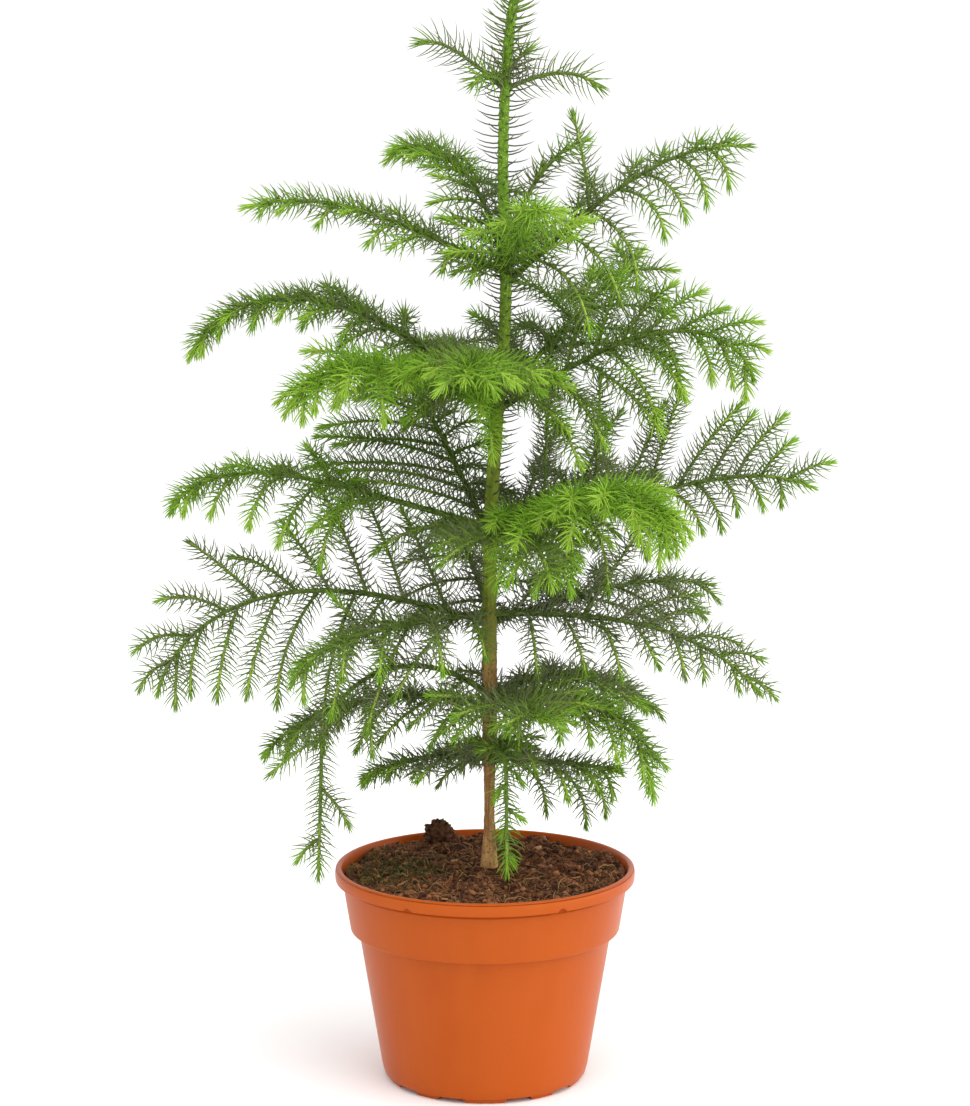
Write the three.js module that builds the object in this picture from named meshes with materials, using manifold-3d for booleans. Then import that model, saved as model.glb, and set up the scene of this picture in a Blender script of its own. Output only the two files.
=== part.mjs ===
// A young Norfolk Island pine in a plastic nursery pot, in millimetres, +Z up.
// The origin is the centre of the pot's flat underside, -Y is the front and azimuth 0 is +X.
// The stem carries seven whorls of boughs. A bough is a bare limb near the stem and a mass of
// needled branchlets beyond it, and every shoot bends within one upright plane.

import * as THREE from "three";
import { mergeVertices } from "three/addons/utils/BufferGeometryUtils.js";
import Module from "manifold-3d";

// Fit between neighbouring pieces
const GAP = 0.3;
const LEAF_CLEARANCE = 0.25;
const MERGE = 1e-4;

// Pot: a rolled rim bead, a collar, a narrow step under it, a tapered body and a notched foot
const POT_HEIGHT = 122;
const POT_WALL = 1.8;
const POT_FLOOR = 3;
const RIM_RADIUS = 85;
const BEAD_FOOT = 114.7;
const BEAD_ROUND = 3;
const COLLAR_TOP = 114.2;
const COLLAR_TOP_RADIUS = 80.6;
const COLLAR_FOOT = 87.2;
const COLLAR_FOOT_RADIUS = 76.4;
const SHOULDER = 85.4;
const SHOULDER_RADIUS = 71.6;
const BODY_FOOT = 6;
const BODY_FOOT_RADIUS = 58.4;
const FOOT_RADIUS = 55;
const POT_SEGMENTS = 36;

// Notches that leave the foot ring as five wide feet with a narrow one between each pair
const NOTCH_PAIRS = 5;
const NOTCH_OFFSET = 20;
const NOTCH_WIDTH = 16;
const NOTCH_HEIGHT = 2.6;
const NOTCH_DEPTH = 12;

// Soil: filled to just under the rim, mounded round the stem, with one clod at the back left
const SOIL_EDGE = 118;
const SOIL_TOP = 120.5;
const SOIL_FLAT_RADIUS = 9;
const SOIL_LUMP = 0.9;
const SOIL_RINGS = 4;
const CLOD_RADIUS = 8.5;
const CLOD_CENTRE = new THREE.Vector3(-27, 64, 124);

// Trunk: its centre line in x at a few heights, and its radius at the same heights
const TRUNK_FOOT = SOIL_TOP + GAP;
const TRUNK_LINE = [
  { z: TRUNK_FOOT, x: 2.5, radius: 5.2 },
  { z: 126, x: 2.5, radius: 4.5 },
  { z: 217, x: 2.6, radius: 4.1 },
  { z: 312, x: 3.0, radius: 3.7 },
  { z: 384, x: 7.2, radius: 3.5 },
  { z: 420, x: 10.5, radius: 3.2 },
  { z: 453, x: 11.5, radius: 3.1 },
  { z: 515, x: 9.8, radius: 2.8 },
  { z: 559, x: 11.2, radius: 2.7 },
  { z: 590, x: 13.8, radius: 2.6 },
  { z: 604, x: 15.6, radius: 2.2 },
  { z: 611, x: 16.5, radius: 1.1 },
];
const TRUNK_SIDES = 8;
const TRUNK_STATIONS = 2;

// Needles that stand straight on the green upper stem, thinning out downwards
const STEM_NEEDLE_FROM = 290;
const STEM_NEEDLE_COUNT = 46;
const STEM_NEEDLE_SHORT = 9;
const STEM_NEEDLE_LONG = 18;
const STEM_NEEDLE_RADIUS = 0.9;
const STEM_NEEDLE_POINT = 0.12;
const STEM_NEEDLE_SLOPE = 32;
const STEM_NEEDLE_LEADER_SLOPE = 62;

// Whorls
const WHORL_STAGGER = 3;
const LIMB_SIDES = 5;
const LIMB_STATIONS = 3;
const LIMB_TAPER = 0.68;
const TWIG_TIP_RADIUS = 0.5;

// Branchlets: two ranks in the plane of a bough, longest a third of the way along it
const BRANCHLET_FIRST = 0.22;
const BRANCHLET_LAST = 0.9;
const BRANCHLET_SPACING = 20;
const BRANCHLET_ANGLE_INNER = 70;
const BRANCHLET_ANGLE_OUTER = 45;
const BRANCHLET_PEAK = 0.3;
const BRANCHLET_INNER_SHARE = 0.85;
const BRANCHLET_OUTER_SHARE = 0.28;
const BRANCHLET_BEND = 1.2;
const BRANCHLET_LENGTH_JITTER = 0.14;
const BRANCHLET_ANGLE_JITTER = 8;

// A branchlet that rises by the stiff rise or more hangs by only part of what a level one does,
// and no shoot slopes down more steeply than the limit
const STIFF_RISE = 50;
const STIFF_SHARE = 0.65;
const SLOPE_LIMIT = -88;

// A spray of needles: a toothed blade on a curved rib, with teeth to the left and right by turns,
// every other pair of them turned up and the next pair down
const TOOTH_SPACING = 9;
const STEM_TOOTH_SPACING = 12;
const SHOOT_TOOTH_SPACING = 5;
const TOOTH_SWEEP = 0.7;
const TOOTH_LIFT = 0.5;
const TOOTH_END_SHARE = 0.7;
const FEWEST_TEETH = 3;
const BARE_SHARE = 0.24;
const BRANCHLET_RADIUS = 0.9;
const SPRAY_POINT = 0.25;

const SHOOT_STEPS = 24;
const GOLDEN_ANGLE = 137.5;
const SEED = 1207;

// Each whorl from the top: its height, the radius of a bough at the stem, the reach of its needles,
// its longest branchlet, and the share of a bough that is a bare limb. Each bough: where it points,
// its azimuth, length, rise at the stem, slope at its tip and how late it bends. Then its
// branchlets: their turn about the bough, their size beside the longest, how far they hang, where
// the ranks differ, how much longer the left rank is, and where they begin late, the share along the
// bough. An offshoot is a single shoot that stands up from a bough: the share along it, then its
// azimuth, length, rise and slope at its tip.
const WHORLS = [
  {
    height: 559, radius: 1.3, needle: 14, longest: 0, limb: 0,
    boughs: [
      ["front", 238, 34, 9, -34, 2.0],
      ["left", 178, 54, 39, -13, 4.0],
      ["back", 62, 34, 40, 10, 1.5],
      ["right", 0, 54, 24, -44, 2.0],
    ],
  },
  {
    height: 453, radius: 1.7, needle: 11, longest: 46, limb: 0.26,
    boughs: [
      ["left", 186, 150, 27, -17, 2.5, 10, 0.7, 40],
      ["back_left", 124, 154, 75, -25, 1.2, 0, 0.7, 40],
      ["back_right", 45, 103, 80, 10, 1.2, 50, 0.35, 10],
      ["right", 6, 158, 42, -7, 2.8, -35, 1.1, 70, -0.3],
      ["front", 280, 105, 34, 0, 1.9, 0, 0.9, 15],
    ],
    offshoots: [["right", 0.39, 165, 52, 84, 74]],
  },
  {
    height: 384, radius: 2.0, needle: 10.5, longest: 54, limb: 0.24,
    boughs: [
      ["left", 173, 200, 35, -67, 2.5, 10, 0.75, 42],
      ["back", 105, 165, 20, -35, 2.4, 0, 1, 42],
      ["back_right", 46, 142, 34, 30, 2.0, -10, 1.35, 42],
      ["right", 353, 162, 31, -75, 3.3, -45, 1.2, 42],
      ["front", 262, 138, 24, -25, 2.4, 0, 1, 42],
      ["front_left", 213, 142, 27, -52, 2.4, 0, 1.15, 42],
    ],
  },
  {
    height: 312, radius: 2.0, needle: 10.5, longest: 62, limb: 0.22,
    boughs: [
      ["left", 181, 189, 16, -63, 4.8, 15, 1, 50, 0, 0.3],
      ["back_left", 118, 145, 42, 22, 2.6, 0, 1, 45, 0.4],
      ["back_right", 53, 170, 21, -12, 0.9, -22, 0.95, 40],
      ["right", 7, 187, 15, -26, 4.8, -60, 1.05, 50, 0.35],
      ["front_right", 316, 150, 20, -115, 5.0, 0, 0.95, 50],
      ["front", 288, 112, 14, -60, 2.6, 0, 0.8, 55],
    ],
  },
  {
    height: 264, radius: 2.0, needle: 10.5, longest: 62, limb: 0.2,
    boughs: [
      ["front_left", 211, 132, -2, -62, 4.5, 0, 0.95, 50],
      ["left", 185, 211, 17, -75, 2.2, 48, 1.4, 40],
      ["back", 100, 178, 20, -25, 2.2, 0, 0.8, 40],
      ["back_right", 38, 168, 9, -15, 2.2, -10, 1, 40],
      ["right", 354, 162, 0, -52, 2.3, -30, 0.95, 35, 0.3],
    ],
  },
  {
    height: 217, radius: 1.7, needle: 10, longest: 50, limb: 0,
    boughs: [
      ["front_left", 204, 200, 37, -197, 1.45, 75, 0.95, 15],
      ["left", 168, 142, 8, -51, 1.6, 0, 1, 45],
      ["back_right", 45, 145, 10, -45, 1.5, 0, 1, 45],
      ["right", 338, 124, 15, -98, 1.85, 0, 0.9, 35],
      ["front_right", 288, 92, 6, -6, 2.1, 0, 1.1, 12],
    ],
  },
  {
    height: 181, radius: 1.5, needle: 10, longest: 38, limb: 0,
    boughs: [
      ["left", 178, 75, 4, -42, 1.9, -10, 1.1, 25],
      ["back", 95, 90, 15, -50, 1.5, 0, 1.1, 45],
      ["right", 336, 78, 2, -11, 4.0, 25, 1.5, 75],
      ["front", 280, 120, 57, -260, 1.53, 0, 0.45, 30],
    ],
  },
];

const MATERIALS = {
  pot: new THREE.MeshStandardMaterial({ color: 0xc8602a, roughness: 0.45, metalness: 0 }),
  soil: new THREE.MeshStandardMaterial({ color: 0x4a3323, roughness: 1, metalness: 0 }),
  bark: new THREE.MeshStandardMaterial({ color: 0x6f6a3a, roughness: 0.9, metalness: 0 }),
  needles: new THREE.MeshStandardMaterial({ color: 0x5f8a32, roughness: 0.6, metalness: 0 }),
};

const wasm = await Module();
wasm.setup();

const radians = THREE.MathUtils.degToRad;
const lerp = THREE.MathUtils.lerp;

// Repeatable numbers from 0 to 1
function seededRandom(seed) {
  let state = seed;
  return () => {
    state = (state + 0x6d2b79f5) | 0;
    let mixed = Math.imul(state ^ (state >>> 15), 1 | state);
    mixed = (mixed + Math.imul(mixed ^ (mixed >>> 7), 61 | mixed)) ^ mixed;
    return ((mixed ^ (mixed >>> 14)) >>> 0) / 4294967296;
  };
}

const random = seededRandom(SEED);

// A number within amount of zero, to either side
function jitter(amount) {
  return amount * (2 * random() - 1);
}

// Solids and meshes
function solidFrom(geometry) {
  const bare = geometry.clone();
  bare.deleteAttribute("normal");
  bare.deleteAttribute("uv");
  const merged = mergeVertices(bare, MERGE);
  return new wasm.Manifold(new wasm.Mesh({
    numProp: 3,
    vertProperties: Float32Array.from(merged.attributes.position.array),
    triVerts: Uint32Array.from(merged.index.array),
  }));
}

function meshFrom(name, solid, material) {
  const { vertProperties, triVerts } = solid.getMesh();
  const geometry = new THREE.BufferGeometry();
  geometry.setAttribute("position", new THREE.BufferAttribute(vertProperties, 3));
  geometry.setIndex(new THREE.BufferAttribute(triVerts, 1));
  geometry.computeVertexNormals();
  const mesh = new THREE.Mesh(geometry, material);
  mesh.name = name;
  return mesh;
}

// The largest body of a solid, without loose scraps and sealed hollows
function largestBody(solid) {
  const bodies = solid.decompose();
  return bodies.reduce((best, body) => (body.volume() > best.volume() ? body : best));
}

// A closed skin over rings of points, each ring counter-clockwise about the way the rings run,
// with every four-sided patch split along its shorter diagonal
function loft(rings) {
  const points = rings.flat();
  const sides = rings[0].length;
  const last = points.length - sides;
  const index = [];
  for (let ring = 0; ring < last; ring += sides) {
    for (let k = 0; k < sides; k += 1) {
      const a = ring + k;
      const b = ring + ((k + 1) % sides);
      const [c, d] = [a + sides, b + sides];
      const splitsAtA = points[a].distanceTo(points[d]) <= points[b].distanceTo(points[c]);
      index.push(...(splitsAtA ? [a, b, d, a, d, c] : [a, b, c, b, d, c]));
    }
  }
  for (let k = 1; k + 1 < sides; k += 1) {
    index.push(0, k + 1, k, last, last + k, last + k + 1);
  }
  const geometry = new THREE.BufferGeometry().setFromPoints(points);
  geometry.setIndex(index);
  return solidFrom(geometry);
}

// A shoot in the upright plane of its heading: its slope goes from rise to droop, the later the
// higher bend is. Angles are in degrees.
class Shoot {
  constructor({ start, heading, length, rise, droop, bend }) {
    const turn = radians(heading);
    Object.assign(this, { length, rise, droop, bend });
    this.outward = new THREE.Vector3(Math.cos(turn), Math.sin(turn), 0);
    this.side = new THREE.Vector3(-Math.sin(turn), Math.cos(turn), 0);
    this.points = [start.clone()];
    for (let step = 0; step < SHOOT_STEPS; step += 1) {
      const stride = this.direction((step + 0.5) / SHOOT_STEPS).multiplyScalar(length / SHOOT_STEPS);
      this.points.push(stride.add(this.points[step]));
    }
  }

  direction(share) {
    const bent = lerp(this.rise, this.droop, Math.max(share, 0) ** this.bend);
    const slope = radians(Math.max(bent, SLOPE_LIMIT));
    return this.outward.clone().multiplyScalar(Math.cos(slope)).setZ(Math.sin(slope));
  }

  // The upper side of the shoot, square to its direction
  above(share) {
    return this.direction(share).cross(this.side);
  }

  at(share) {
    const place = THREE.MathUtils.clamp(share, 0, 1) * SHOOT_STEPS;
    const step = Math.min(Math.floor(place), SHOOT_STEPS - 1);
    return this.points[step].clone().lerp(this.points[step + 1], place - step);
  }

  // A round section of some sides at a share of the length
  ring(share, radius, sides) {
    const centre = this.at(share);
    const above = this.above(share);
    return Array.from({ length: sides }, (_, k) => {
      const angle = (2 * Math.PI * k) / sides;
      return centre.clone()
        .addScaledVector(this.side, radius * Math.cos(angle))
        .addScaledVector(above, radius * Math.sin(angle));
    });
  }

  // A tapering limb between two shares of the length
  limb(from, to, radiusFrom, radiusTo, sides, stations) {
    return loft(Array.from({ length: stations + 1 }, (_, k) => {
      const share = lerp(from, to, k / stations);
      return this.ring(share, lerp(radiusFrom, radiusTo, k / stations), sides);
    }));
  }

  // A toothed blade of needles along the shoot from a share of its length on, with a three-sided
  // section: a left edge, a rib above and a right edge, one edge a tooth and the other the bare twig
  spray({ reach, radius, spacing, from = 0, bare = 0 }) {
    const first = Math.max(from, bare);
    const teeth = Math.max(FEWEST_TEETH, Math.round((this.length * (1 - first)) / spacing));
    const section = (share, left, right, lift, sweep) => {
      const twig = lerp(radius, TWIG_TIP_RADIUS, (share - from) / (1 - from));
      const centre = this.at(share);
      const above = this.above(share);
      const edge = (sign, width) => centre.clone()
        .addScaledVector(this.side, sign * Math.max(width, twig))
        .addScaledVector(this.direction(share), width * sweep)
        .addScaledVector(above, width * lift);
      return [edge(1, left), centre.clone().addScaledVector(above, twig), edge(-1, right)];
    };
    const rings = [section(from, 0, 0, 0, 0)];
    for (let tooth = 0; tooth < teeth; tooth += 1) {
      const share = lerp(first, 1, (tooth + 0.5) / teeth);
      const width = reach * (tooth + 1 === teeth ? TOOTH_END_SHARE : 1);
      const lift = tooth % 4 < 2 ? TOOTH_LIFT : -TOOTH_LIFT;
      const isLeft = tooth % 2 === 0;
      rings.push(section(share, isLeft ? width : 0, isLeft ? 0 : width, lift, TOOTH_SWEEP));
    }
    const point = this.at(1).addScaledVector(this.direction(1), reach);
    rings.push([
      point.clone().addScaledVector(this.side, SPRAY_POINT),
      point.clone().addScaledVector(this.above(1), SPRAY_POINT),
      point.clone().addScaledVector(this.side, -SPRAY_POINT),
    ]);
    return loft(rings);
  }
}

// Pot
function potSolid() {
  const outer = [
    [0, 0],
    [FOOT_RADIUS, 0],
    [lerp(FOOT_RADIUS, BODY_FOOT_RADIUS, 0.7), BODY_FOOT * 0.25],
    [BODY_FOOT_RADIUS, BODY_FOOT],
    [SHOULDER_RADIUS, SHOULDER],
    [COLLAR_FOOT_RADIUS, COLLAR_FOOT],
    [COLLAR_TOP_RADIUS, COLLAR_TOP],
    [RIM_RADIUS, BEAD_FOOT],
    [RIM_RADIUS, POT_HEIGHT - BEAD_ROUND / 2],
    [RIM_RADIUS - BEAD_ROUND / 2, POT_HEIGHT],
    [RIM_RADIUS - BEAD_ROUND, POT_HEIGHT - BEAD_ROUND / 4],
  ];
  const profile = [...outer, ...innerWall(0), [0, POT_FLOOR]];
  const points = profile.map(([r, z]) => new THREE.Vector2(r, z));
  const body = new THREE.LatheGeometry(points, POT_SEGMENTS).rotateX(Math.PI / 2);
  return notches().reduce((pot, notch) => pot.subtract(notch), solidFrom(body));
}

// The pot's inside from the rim down, moved in by an extra gap
function innerWall(extra) {
  const inset = POT_WALL + extra;
  return [
    [lerp(COLLAR_TOP_RADIUS, RIM_RADIUS, 0.1) - inset, COLLAR_TOP + POT_WALL + extra],
    [COLLAR_FOOT_RADIUS - inset, COLLAR_FOOT + POT_WALL + extra],
    [SHOULDER_RADIUS - inset, SHOULDER + POT_WALL + extra],
    [BODY_FOOT_RADIUS - inset, POT_FLOOR + extra],
  ];
}

function notches() {
  const width = 2 * FOOT_RADIUS * Math.sin(radians(NOTCH_WIDTH / 2));
  return Array.from({ length: 2 * NOTCH_PAIRS }, (_, k) => {
    const pair = Math.floor(k / 2);
    const side = k % 2 ? 1 : -1;
    const angle = -90 + (360 * pair) / NOTCH_PAIRS + side * NOTCH_OFFSET;
    const block = new THREE.BoxGeometry(NOTCH_DEPTH, width, 2 * NOTCH_HEIGHT);
    block.translate(FOOT_RADIUS + 1, 0, 0);
    block.rotateZ(radians(angle));
    return solidFrom(block);
  });
}

// Soil
function soilSolid() {
  const [collarTop, collarFoot, ...below] = innerWall(GAP);
  const wallSlope = (collarTop[0] - collarFoot[0]) / (collarTop[1] - collarFoot[1]);
  const edge = collarTop[0] + wallSlope * (SOIL_EDGE - collarTop[1]);
  const wall = [collarTop, collarFoot, ...below].reverse();
  const profile = [[0, POT_FLOOR + GAP], ...wall, [edge, SOIL_EDGE]];
  for (let ring = 1; ring < SOIL_RINGS; ring += 1) {
    const share = ring / SOIL_RINGS;
    const rise = Math.sin((share * Math.PI) / 2);
    profile.push([lerp(edge, SOIL_FLAT_RADIUS, share), lerp(SOIL_EDGE, SOIL_TOP - SOIL_LUMP, rise)]);
  }
  profile.push([SOIL_FLAT_RADIUS, SOIL_TOP], [0, SOIL_TOP]);
  const points = profile.map(([r, z]) => new THREE.Vector2(r, z));
  const body = new THREE.LatheGeometry(points, POT_SEGMENTS).rotateX(Math.PI / 2);
  const places = body.attributes.position;
  for (let k = 0; k < places.count; k += 1) {
    const radius = Math.hypot(places.getX(k), places.getY(k));
    if (places.getZ(k) >= SOIL_EDGE && radius > SOIL_FLAT_RADIUS + GAP) {
      const wave = Math.sin(0.31 * places.getX(k)) * Math.cos(0.27 * places.getY(k) + 1);
      places.setZ(k, places.getZ(k) + SOIL_LUMP * wave);
    }
  }
  return solidFrom(body).add(clod());
}

function clod() {
  const lump = new THREE.IcosahedronGeometry(CLOD_RADIUS, 1);
  const places = lump.attributes.position;
  for (let k = 0; k < places.count; k += 1) {
    const wave = Math.sin(0.9 * places.getX(k) + 1) * Math.cos(0.8 * places.getY(k));
    const swell = 1 + 0.12 * wave;
    places.setXYZ(k, places.getX(k) * swell, places.getY(k) * swell * 0.8, places.getZ(k) * swell * 0.95);
  }
  lump.translate(...CLOD_CENTRE);
  return solidFrom(lump);
}

// Trunk
const trunkCurve = new THREE.CatmullRomCurve3(
  TRUNK_LINE.map(({ x, z, radius }) => new THREE.Vector3(x, radius, z)),
);

// The trunk's centre and radius at a height, from a smooth curve through its line
function trunkAt(height) {
  const stations = TRUNK_LINE.length - 1;
  let place = TRUNK_LINE.findIndex(({ z }) => z > height) - 1;
  if (place < 0) {
    place = height < TRUNK_FOOT ? 0 : stations - 1;
  }
  const { z: low } = TRUNK_LINE[place];
  const { z: high } = TRUNK_LINE[place + 1];
  const share = (place + (height - low) / (high - low)) / stations;
  const point = trunkCurve.getPoint(THREE.MathUtils.clamp(share, 0, 1));
  return { centre: new THREE.Vector3(point.x, 0, height), radius: point.y };
}

function trunkLimb(extra) {
  const rings = [];
  const addRing = (height) => {
    const { centre, radius } = trunkAt(height);
    rings.push(Array.from({ length: TRUNK_SIDES }, (_, k) => {
      const angle = (2 * Math.PI * k) / TRUNK_SIDES;
      const arm = new THREE.Vector3(Math.cos(angle), Math.sin(angle), 0);
      return centre.clone().addScaledVector(arm, radius + extra);
    }));
  };
  TRUNK_LINE.slice(0, -1).forEach(({ z }, k) => {
    const stations = k === 0 ? 1 : TRUNK_STATIONS;
    for (let step = 0; step < stations; step += 1) {
      addRing(lerp(z, TRUNK_LINE[k + 1].z, step / stations));
    }
  });
  addRing(TRUNK_LINE.at(-1).z);
  return loft(rings);
}

// Needles round the upper stem, a golden angle apart, steeper and closer towards the leader's tip
function stemNeedles() {
  const top = TRUNK_LINE.at(-1).z;
  const leader = WHORLS[0].height;
  return Array.from({ length: STEM_NEEDLE_COUNT }, (_, k) => {
    const share = (k + 0.5) / STEM_NEEDLE_COUNT;
    const height = lerp(STEM_NEEDLE_FROM, top, share ** 0.7);
    const climb = THREE.MathUtils.smoothstep(height, leader, top);
    const slope = lerp(STEM_NEEDLE_SLOPE, STEM_NEEDLE_LEADER_SLOPE, climb);
    const needle = new Shoot({
      start: trunkAt(height).centre,
      heading: k * GOLDEN_ANGLE,
      length: lerp(STEM_NEEDLE_SHORT, STEM_NEEDLE_LONG, share),
      rise: slope,
      droop: slope,
      bend: 1,
    });
    return needle.limb(0, 1, STEM_NEEDLE_RADIUS, STEM_NEEDLE_POINT, 3, 1);
  });
}

// Boughs and foliage
function boughShoot(whorl, bough, order) {
  const [, azimuth, length, rise, droop, bend] = bough;
  const height = whorl.height + (order % 2 ? -WHORL_STAGGER : WHORL_STAGGER);
  const start = trunkAt(height).centre;
  return new Shoot({ start, heading: azimuth, length, rise, droop, bend });
}

// The branchlets of a bough: left and right by turns, leaning forward, each hanging at its end, the
// less the more it rises
function branchlets(shoot, whorl, bough) {
  const [name, , , , , , twist, size, hang, lopsided = 0, first = BRANCHLET_FIRST] = bough;
  const span = BRANCHLET_LAST - first;
  const count = whorl.longest === 0 ? 0 : Math.round((shoot.length * span) / BRANCHLET_SPACING);
  const ranks = Array.from({ length: count }, (_, k) => {
    const share = first + (span * (k + 0.5)) / count;
    const side = k % 2 ? 1 : -1;
    const lean = radians(lerp(BRANCHLET_ANGLE_INNER, BRANCHLET_ANGLE_OUTER, share)
      + jitter(BRANCHLET_ANGLE_JITTER));
    const across = shoot.side.clone().multiplyScalar(-Math.cos(radians(twist)))
      .addScaledVector(shoot.above(share), Math.sin(radians(twist)));
    const way = shoot.direction(share).multiplyScalar(Math.cos(lean))
      .addScaledVector(across, side * Math.sin(lean));
    const rise = THREE.MathUtils.radToDeg(Math.asin(way.z));
    const fullness = share < BRANCHLET_PEAK
      ? lerp(BRANCHLET_INNER_SHARE, 1, share / BRANCHLET_PEAK)
      : lerp(1, BRANCHLET_OUTER_SHARE, (share - BRANCHLET_PEAK) / (1 - BRANCHLET_PEAK));
    const stiff = 1 - STIFF_SHARE * THREE.MathUtils.clamp(rise / STIFF_RISE, 0, 1);
    const longest = whorl.longest * size * (1 - lopsided * side);
    return new Shoot({
      start: shoot.at(share),
      heading: THREE.MathUtils.radToDeg(Math.atan2(way.y, way.x)),
      length: longest * fullness * (1 + jitter(BRANCHLET_LENGTH_JITTER)),
      rise,
      droop: rise - hang * stiff,
      bend: BRANCHLET_BEND,
    });
  });
  const { offshoots = [] } = whorl;
  const standing = offshoots.filter(([from]) => from === name)
    .map(([, share, heading, length, rise, droop]) => new Shoot({
      start: shoot.at(share), heading, length, rise, droop, bend: BRANCHLET_BEND,
    }));
  return [...ranks, ...standing];
}

// A solid with its box, for quick tests of how near two solids are
function placed(solid, owner) {
  const { min, max } = solid.boundingBox();
  const box = new THREE.Box3(new THREE.Vector3(...min), new THREE.Vector3(...max));
  return { solid, owner, box: box.expandByScalar(LEAF_CLEARANCE) };
}

function clearOf(item, others) {
  return others.every((other) => other.owner === item.owner
    || !other.box.intersectsBox(item.box)
    || other.solid.minGap(item.solid, 2 * LEAF_CLEARANCE) >= LEAF_CLEARANCE);
}

const plant = new THREE.Group();
const pot = potSolid();
const soil = soilSolid();
plant.add(meshFrom("pot", pot, MATERIALS.pot));
plant.add(meshFrom("soil", soil, MATERIALS.soil));

// The trunk, the limbs and the stems of all masses come first, so that every bough keeps its line
const trunk = trunkLimb(0);
const trunkHole = trunkLimb(GAP);
const standing = [placed(pot, "pot"), placed(soil, "soil"), placed(trunk, "trunk")];
const clusters = [{ owner: "trunk", stem: trunk, leaves: stemNeedles(), material: MATERIALS.bark }];
WHORLS.forEach((whorl, index) => {
  whorl.boughs.forEach((bough, order) => {
    const label = `tier${index + 1}_${bough[0]}`;
    const owner = `foliage_${label}`;
    const shoot = boughShoot(whorl, bough, order);
    const from = whorl.limb === 0 ? 0 : whorl.limb + GAP / shoot.length;
    const radius = lerp(whorl.radius, TWIG_TIP_RADIUS, from ** LIMB_TAPER);
    if (whorl.limb > 0) {
      const limb = shoot.limb(0, whorl.limb, whorl.radius, radius, LIMB_SIDES, LIMB_STATIONS);
      const bare = largestBody(limb.subtract(trunkHole));
      plant.add(meshFrom(`bough_${label}`, bare, MATERIALS.bark));
      standing.push(placed(bare, `bough_${label}`));
    }
    const stemSpray = (reach) => {
      const spacing = whorl.longest === 0 ? SHOOT_TOOTH_SPACING : STEM_TOOTH_SPACING;
      const blade = shoot.spray({ reach, radius, spacing, from, bare: BARE_SHARE });
      return whorl.limb === 0 ? largestBody(blade.subtract(trunkHole)) : blade;
    };
    const stem = stemSpray(0);
    standing.push(placed(stem, owner));
    const size = { reach: whorl.needle, radius: BRANCHLET_RADIUS, spacing: TOOTH_SPACING };
    const leaves = branchlets(shoot, whorl, bough).map((twig) => twig.spray(size));
    const needled = stemSpray(whorl.needle);
    clusters.push({ owner, stem, needled, leaves, material: MATERIALS.needles });
  });
});

// A needle or spray is left out where it would come too near a limb, the pot or another mass,
// and a stem that has no room for needles stays bare
function isPlaced(solid, owner) {
  const item = placed(solid, owner);
  const fits = clearOf(item, standing);
  if (fits) {
    standing.push(item);
  }
  return fits;
}

for (const { owner, stem, needled, leaves, material } of clusters) {
  const axis = needled && isPlaced(needled, owner) ? needled : stem;
  const whole = leaves.reduce((joined, leaf) => (isPlaced(leaf, owner) ? joined.add(leaf) : joined), axis);
  plant.add(meshFrom(owner, largestBody(whole), material));
}

export default plant;
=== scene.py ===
# %% [markdown]
# # A young Norfolk Island pine in a nursery pot
# This plant is one straight stem with whorls of boughs. Each bough is a feather of branchlets, and
# every branchlet is set with soft, awl-shaped needles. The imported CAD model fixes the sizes, and this
# lesson grows the bark, twigs and needles on it, and finishes the pot and the soil.
# Lengths are in metres and angles in degrees. The origin is the middle of the pot's underside, +Z is
# up and the front is -Y.

import bpy
import numpy as np
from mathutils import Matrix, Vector


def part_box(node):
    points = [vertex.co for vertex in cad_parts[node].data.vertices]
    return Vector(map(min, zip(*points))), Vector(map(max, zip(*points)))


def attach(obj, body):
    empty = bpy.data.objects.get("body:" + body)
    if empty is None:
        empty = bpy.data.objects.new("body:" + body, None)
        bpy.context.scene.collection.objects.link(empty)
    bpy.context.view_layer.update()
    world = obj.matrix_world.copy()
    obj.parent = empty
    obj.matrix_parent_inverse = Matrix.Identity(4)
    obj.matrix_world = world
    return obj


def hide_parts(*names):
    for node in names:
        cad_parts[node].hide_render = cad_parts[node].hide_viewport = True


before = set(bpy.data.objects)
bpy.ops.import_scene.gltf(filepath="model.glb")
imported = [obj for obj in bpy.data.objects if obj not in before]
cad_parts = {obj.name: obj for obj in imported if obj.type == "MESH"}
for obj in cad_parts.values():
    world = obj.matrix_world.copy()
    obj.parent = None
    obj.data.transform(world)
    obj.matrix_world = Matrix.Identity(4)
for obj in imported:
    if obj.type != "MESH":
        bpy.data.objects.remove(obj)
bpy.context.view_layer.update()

node_names = sorted(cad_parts)

# %% [markdown]
# ## Camera
# The camera stands 1.7 m in front of the stem, a little under the plant's tip, and looks down by nine
# degrees. The lens could be found by trial, but a focal length in pixels of the picture gives it at
# once: it is the sensor's long side times that length over the picture's long side.

# %% Camera
PICTURE_HEIGHT = 1106
FOCAL_PIXELS = 3089
SENSOR_MM = 36.0
CAMERA_DISTANCE = 1.7
CAMERA_HEIGHT = 0.568
CAMERA_PITCH = 8.94

scene = bpy.context.scene
camera_data = bpy.data.cameras.new("camera")
camera_data.sensor_width = SENSOR_MM
camera_data.lens = SENSOR_MM * FOCAL_PIXELS / PICTURE_HEIGHT
camera = bpy.data.objects.new("camera", camera_data)
camera.location = (0.0, -CAMERA_DISTANCE, CAMERA_HEIGHT)
camera.rotation_euler = (np.radians(90 - CAMERA_PITCH), 0.0, 0.0)
scene.collection.objects.link(camera)
scene.camera = camera
print("lens:", round(camera_data.lens, 1), "mm")

# %% [markdown]
# ## Light
# The plant stands in a white studio. A white world lights it softly from all round, and three area
# lights add the direction: two stand at the right, so that the pot is paler there, and one above makes
# the upper needles glow. The Standard view keeps white paper-white and green saturated.

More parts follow.
